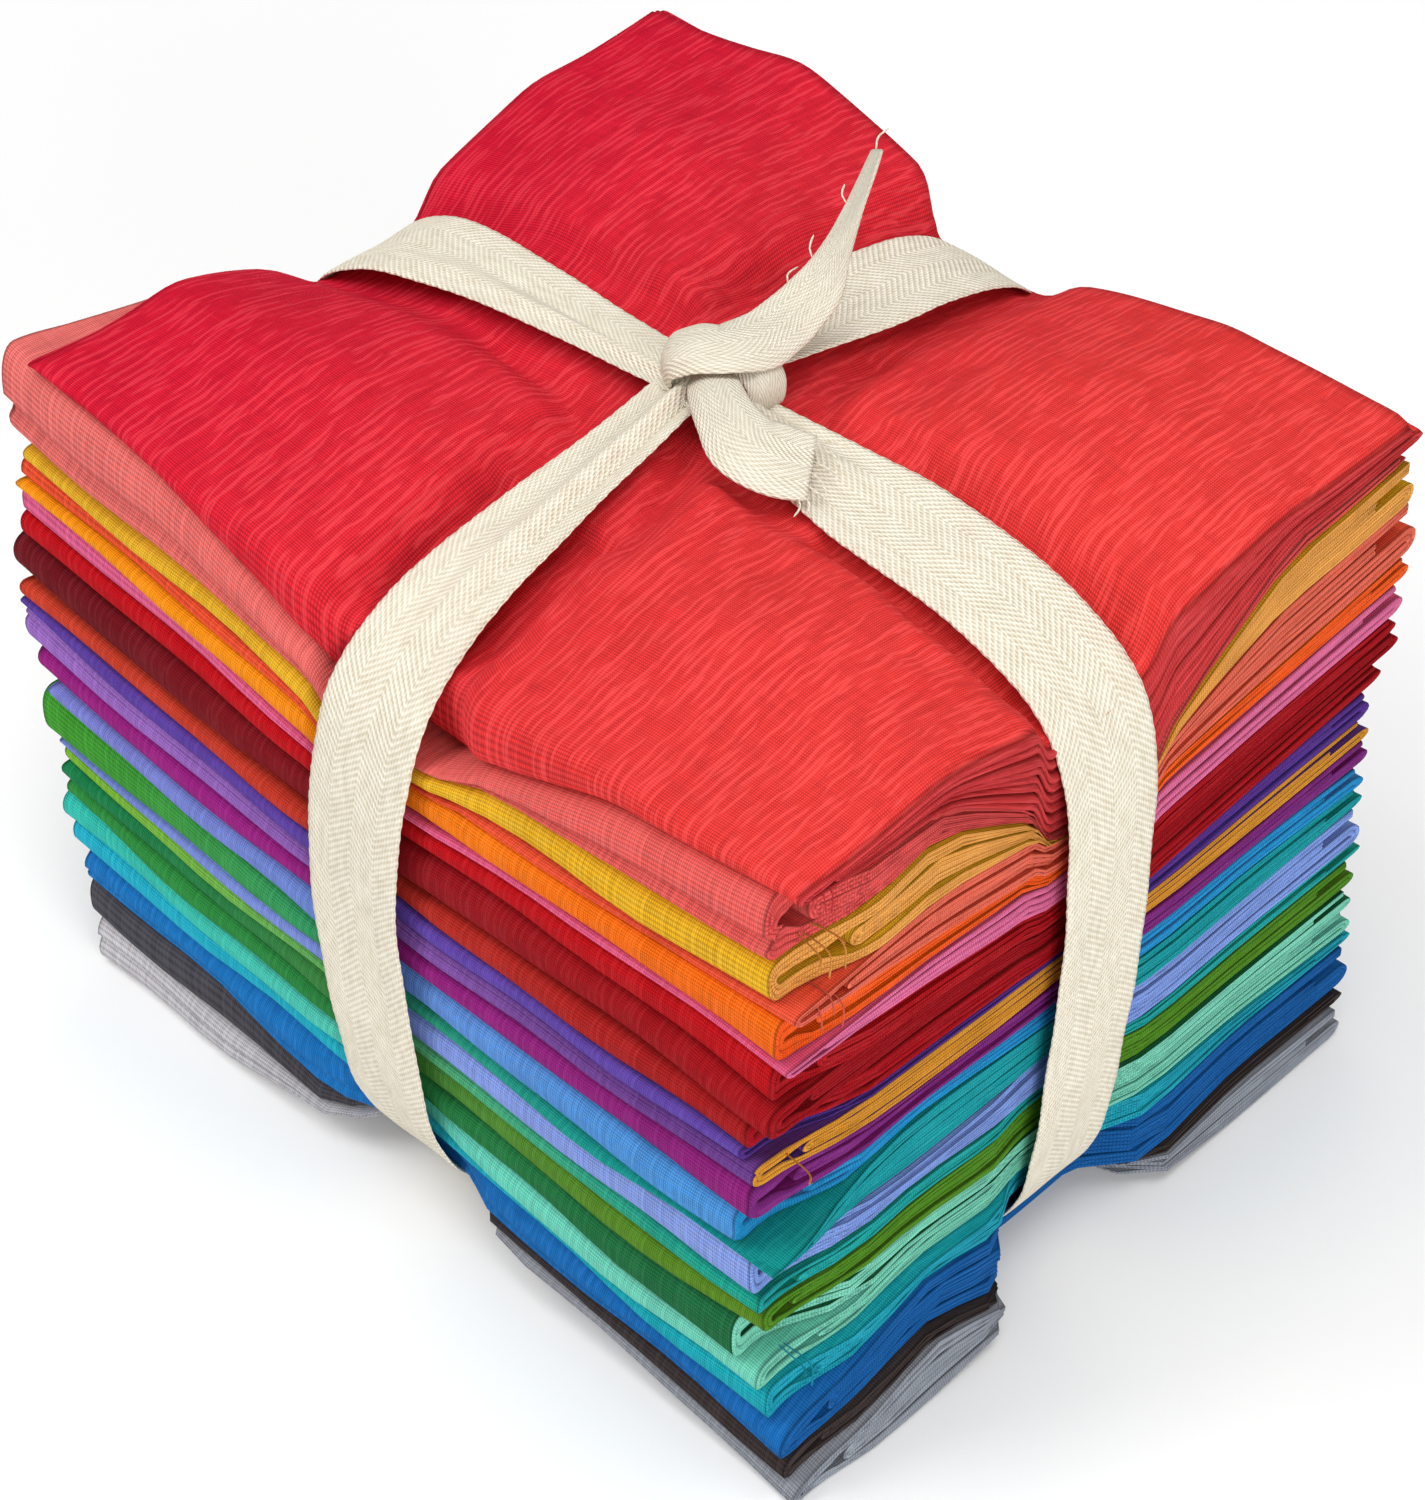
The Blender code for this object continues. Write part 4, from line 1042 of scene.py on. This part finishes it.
def twill_material():
    """Unbleached cotton herringbone tape: ribs at 45 degrees that turn back along the
    middle and halfway to each selvedge, with the short raised stitches of the weave."""
    made, tree, shader = new_material("cotton herringbone tape", 0.85, 0.05)
    cloth = node(tree, "ShaderNodeUVMap", {"uv_map": "cloth"}).outputs[0]
    parts = node(tree, "ShaderNodeSeparateXYZ", {}, {0: cloth})
    across, along = parts.outputs[0], parts.outputs[1]
    zigzag = math_node(tree, "PINGPONG", across, HERRINGBONE_TURN)
    turns = math_node(tree, "MULTIPLY", math_node(tree, "ADD", zigzag, along), 2 * math.pi / RIB_PITCH)
    ribs = math_node(tree, "SINE", turns)
    stitches = math_node(tree, "SINE", math_node(tree, "MULTIPLY", across, 2 * math.pi / STITCH_PITCH))
    slubs = noise(tree, scaled(tree, cloth, (900.0, 260.0, 0.0)), 2.0)
    blotches = noise(tree, scaled(tree, cloth, (120.0, 60.0, 0.0)), 2.0)
    raised = math_node(tree, "MULTIPLY_ADD", ribs, 0.5, math_node(tree, "MULTIPLY", stitches, 0.26))
    lifted = math_node(tree, "MULTIPLY_ADD", slubs, 0.9, 0.15)
    # Painted light and shade: the raised ribs and stitches are paler and the hollows between them darker,
    # over the yarn's own uneven tone
    shade = math_node(tree, "MULTIPLY_ADD", raised, 0.55, lifted, clamp=True)
    colour = mixed(tree, shade, linear_colour("#D2C6AA"), linear_colour("#FFF9EA"))
    colour = mixed(tree, math_node(tree, "MULTIPLY", blotches, 0.18), colour, linear_colour("#B3A688"))
    tree.links.new(colour, shader.inputs["Base Color"])
    height = math_node(tree, "MULTIPLY_ADD", slubs, 0.5, raised)
    bump = node(tree, "ShaderNodeBump", {}, {"Strength": 0.75, "Distance": 0.00028, "Height": height})
    tree.links.new(bump.outputs[0], shader.inputs["Normal"])
    return made


def dressed(piece, material, slot, *nodes):
    """Give a piece its material and its place among the bodies, and hide the solids it stands for."""
    piece.data.materials.append(material)
    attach(piece, "root")
    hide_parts(*nodes)


for index, packet in enumerate(PACKETS):
    cloth = fat_quarter(index)
    streak_share, frosting = (0.4, 0.045) if index == 0 else (0.25, 0.02)
    dressed(cloth, quilting_cotton(packet, streak_share, frosting), f"cotton_{packet.name}",
            f"fat_quarter_{index + 1:02d}_{packet.name}")

# Each arm's reach, how far it draws in, its pleat's place across and how much it rolls up
ARMS_X = ((34.0, 0.95, 0.25, 0.5), (66.0, 1.0, -0.45, 0.8))
ARMS_Y = ((36.0, 0.9, -0.2, 0.4), (72.0, 1.0, 0.1, 0.6))
tape = joined("tied_tape", [tape_round(ROUND_ALONG_X, True, ARMS_X), tape_round(ROUND_ALONG_Y, False, ARMS_Y),
                            ribbon(BACK_RUN), ribbon(FRONT_RUN), ribbon(RIGHT_WRAP),
                            *(thread(line) for line in TAPE_FRAYS)])
dressed(tape, twill_material(), "twill_tape", "twill_tape")

floor_mesh = bpy.data.meshes.new("floor")
floor_mesh.from_pydata([(-3, -3, 0), (3, -3, 0), (3, 3, 0), (-3, 3, 0)], [], [(0, 1, 2, 3)])
floor = bpy.data.objects.new("floor", floor_mesh)
bpy.context.scene.collection.objects.link(floor)
floor_material, _, floor_shader = new_material("white studio paper", 0.9, 0.0)
floor_shader.inputs["Base Color"].default_value = (0.98, 0.98, 0.98, 1)
floor_mesh.materials.append(floor_material)


def studio_light(name, place, aim, size, power, colour=(1, 1, 1)):
    """A soft square lamp that faces a point."""
    lamp = bpy.data.lights.new(name, "AREA")
    lamp.size, lamp.energy, lamp.color = size, power, colour
    made = bpy.data.objects.new(name, lamp)
    made.location = place
    made.rotation_euler = (Vector(aim) - Vector(place)).to_track_quat("-Z", "Y").to_euler()
    bpy.context.scene.collection.objects.link(made)


studio_light("key softbox", (-0.55, -0.65, 1.0), (0, 0, 0.06), 0.6, 6.0)
studio_light("top softbox", (0.1, 0.0, 1.3), (0, 0, 0.06), 0.9, 8.0)
studio_light("right fill", (1.1, -0.45, 0.5), (0, 0, 0.06), 0.7, 8.0)

world = bpy.data.worlds.new("studio white")
world.use_nodes = True
world.node_tree.nodes["Background"].inputs["Color"].default_value = (1, 1, 1, 1)
world.node_tree.nodes["Background"].inputs["Strength"].default_value = 0.36
bpy.context.scene.world = world
bpy.context.scene.view_settings.view_transform = "Standard"

# The photo's camera: the way it faces, and its place in metres
AZIMUTH, ELEVATION = math.radians(44.19), math.radians(43.49)
CAMERA_PLACE = (0.31855584, -0.32702479, 0.48659425)
camera_data = bpy.data.cameras.new("photo camera")
camera_data.lens, camera_data.sensor_width, camera_data.sensor_fit = 99.8, 36.0, "AUTO"
camera = bpy.data.objects.new("photo camera", camera_data)
level = math.cos(ELEVATION)
back = Vector((math.sin(AZIMUTH) * level, -math.cos(AZIMUTH) * level, math.sin(ELEVATION)))
right = Vector((math.cos(AZIMUTH), math.sin(AZIMUTH), 0))
turned = Matrix((right, back.cross(right), back)).transposed().to_4x4()
camera.matrix_world = Matrix.Translation(CAMERA_PLACE) @ turned
bpy.context.scene.collection.objects.link(camera)
bpy.context.scene.camera = camera
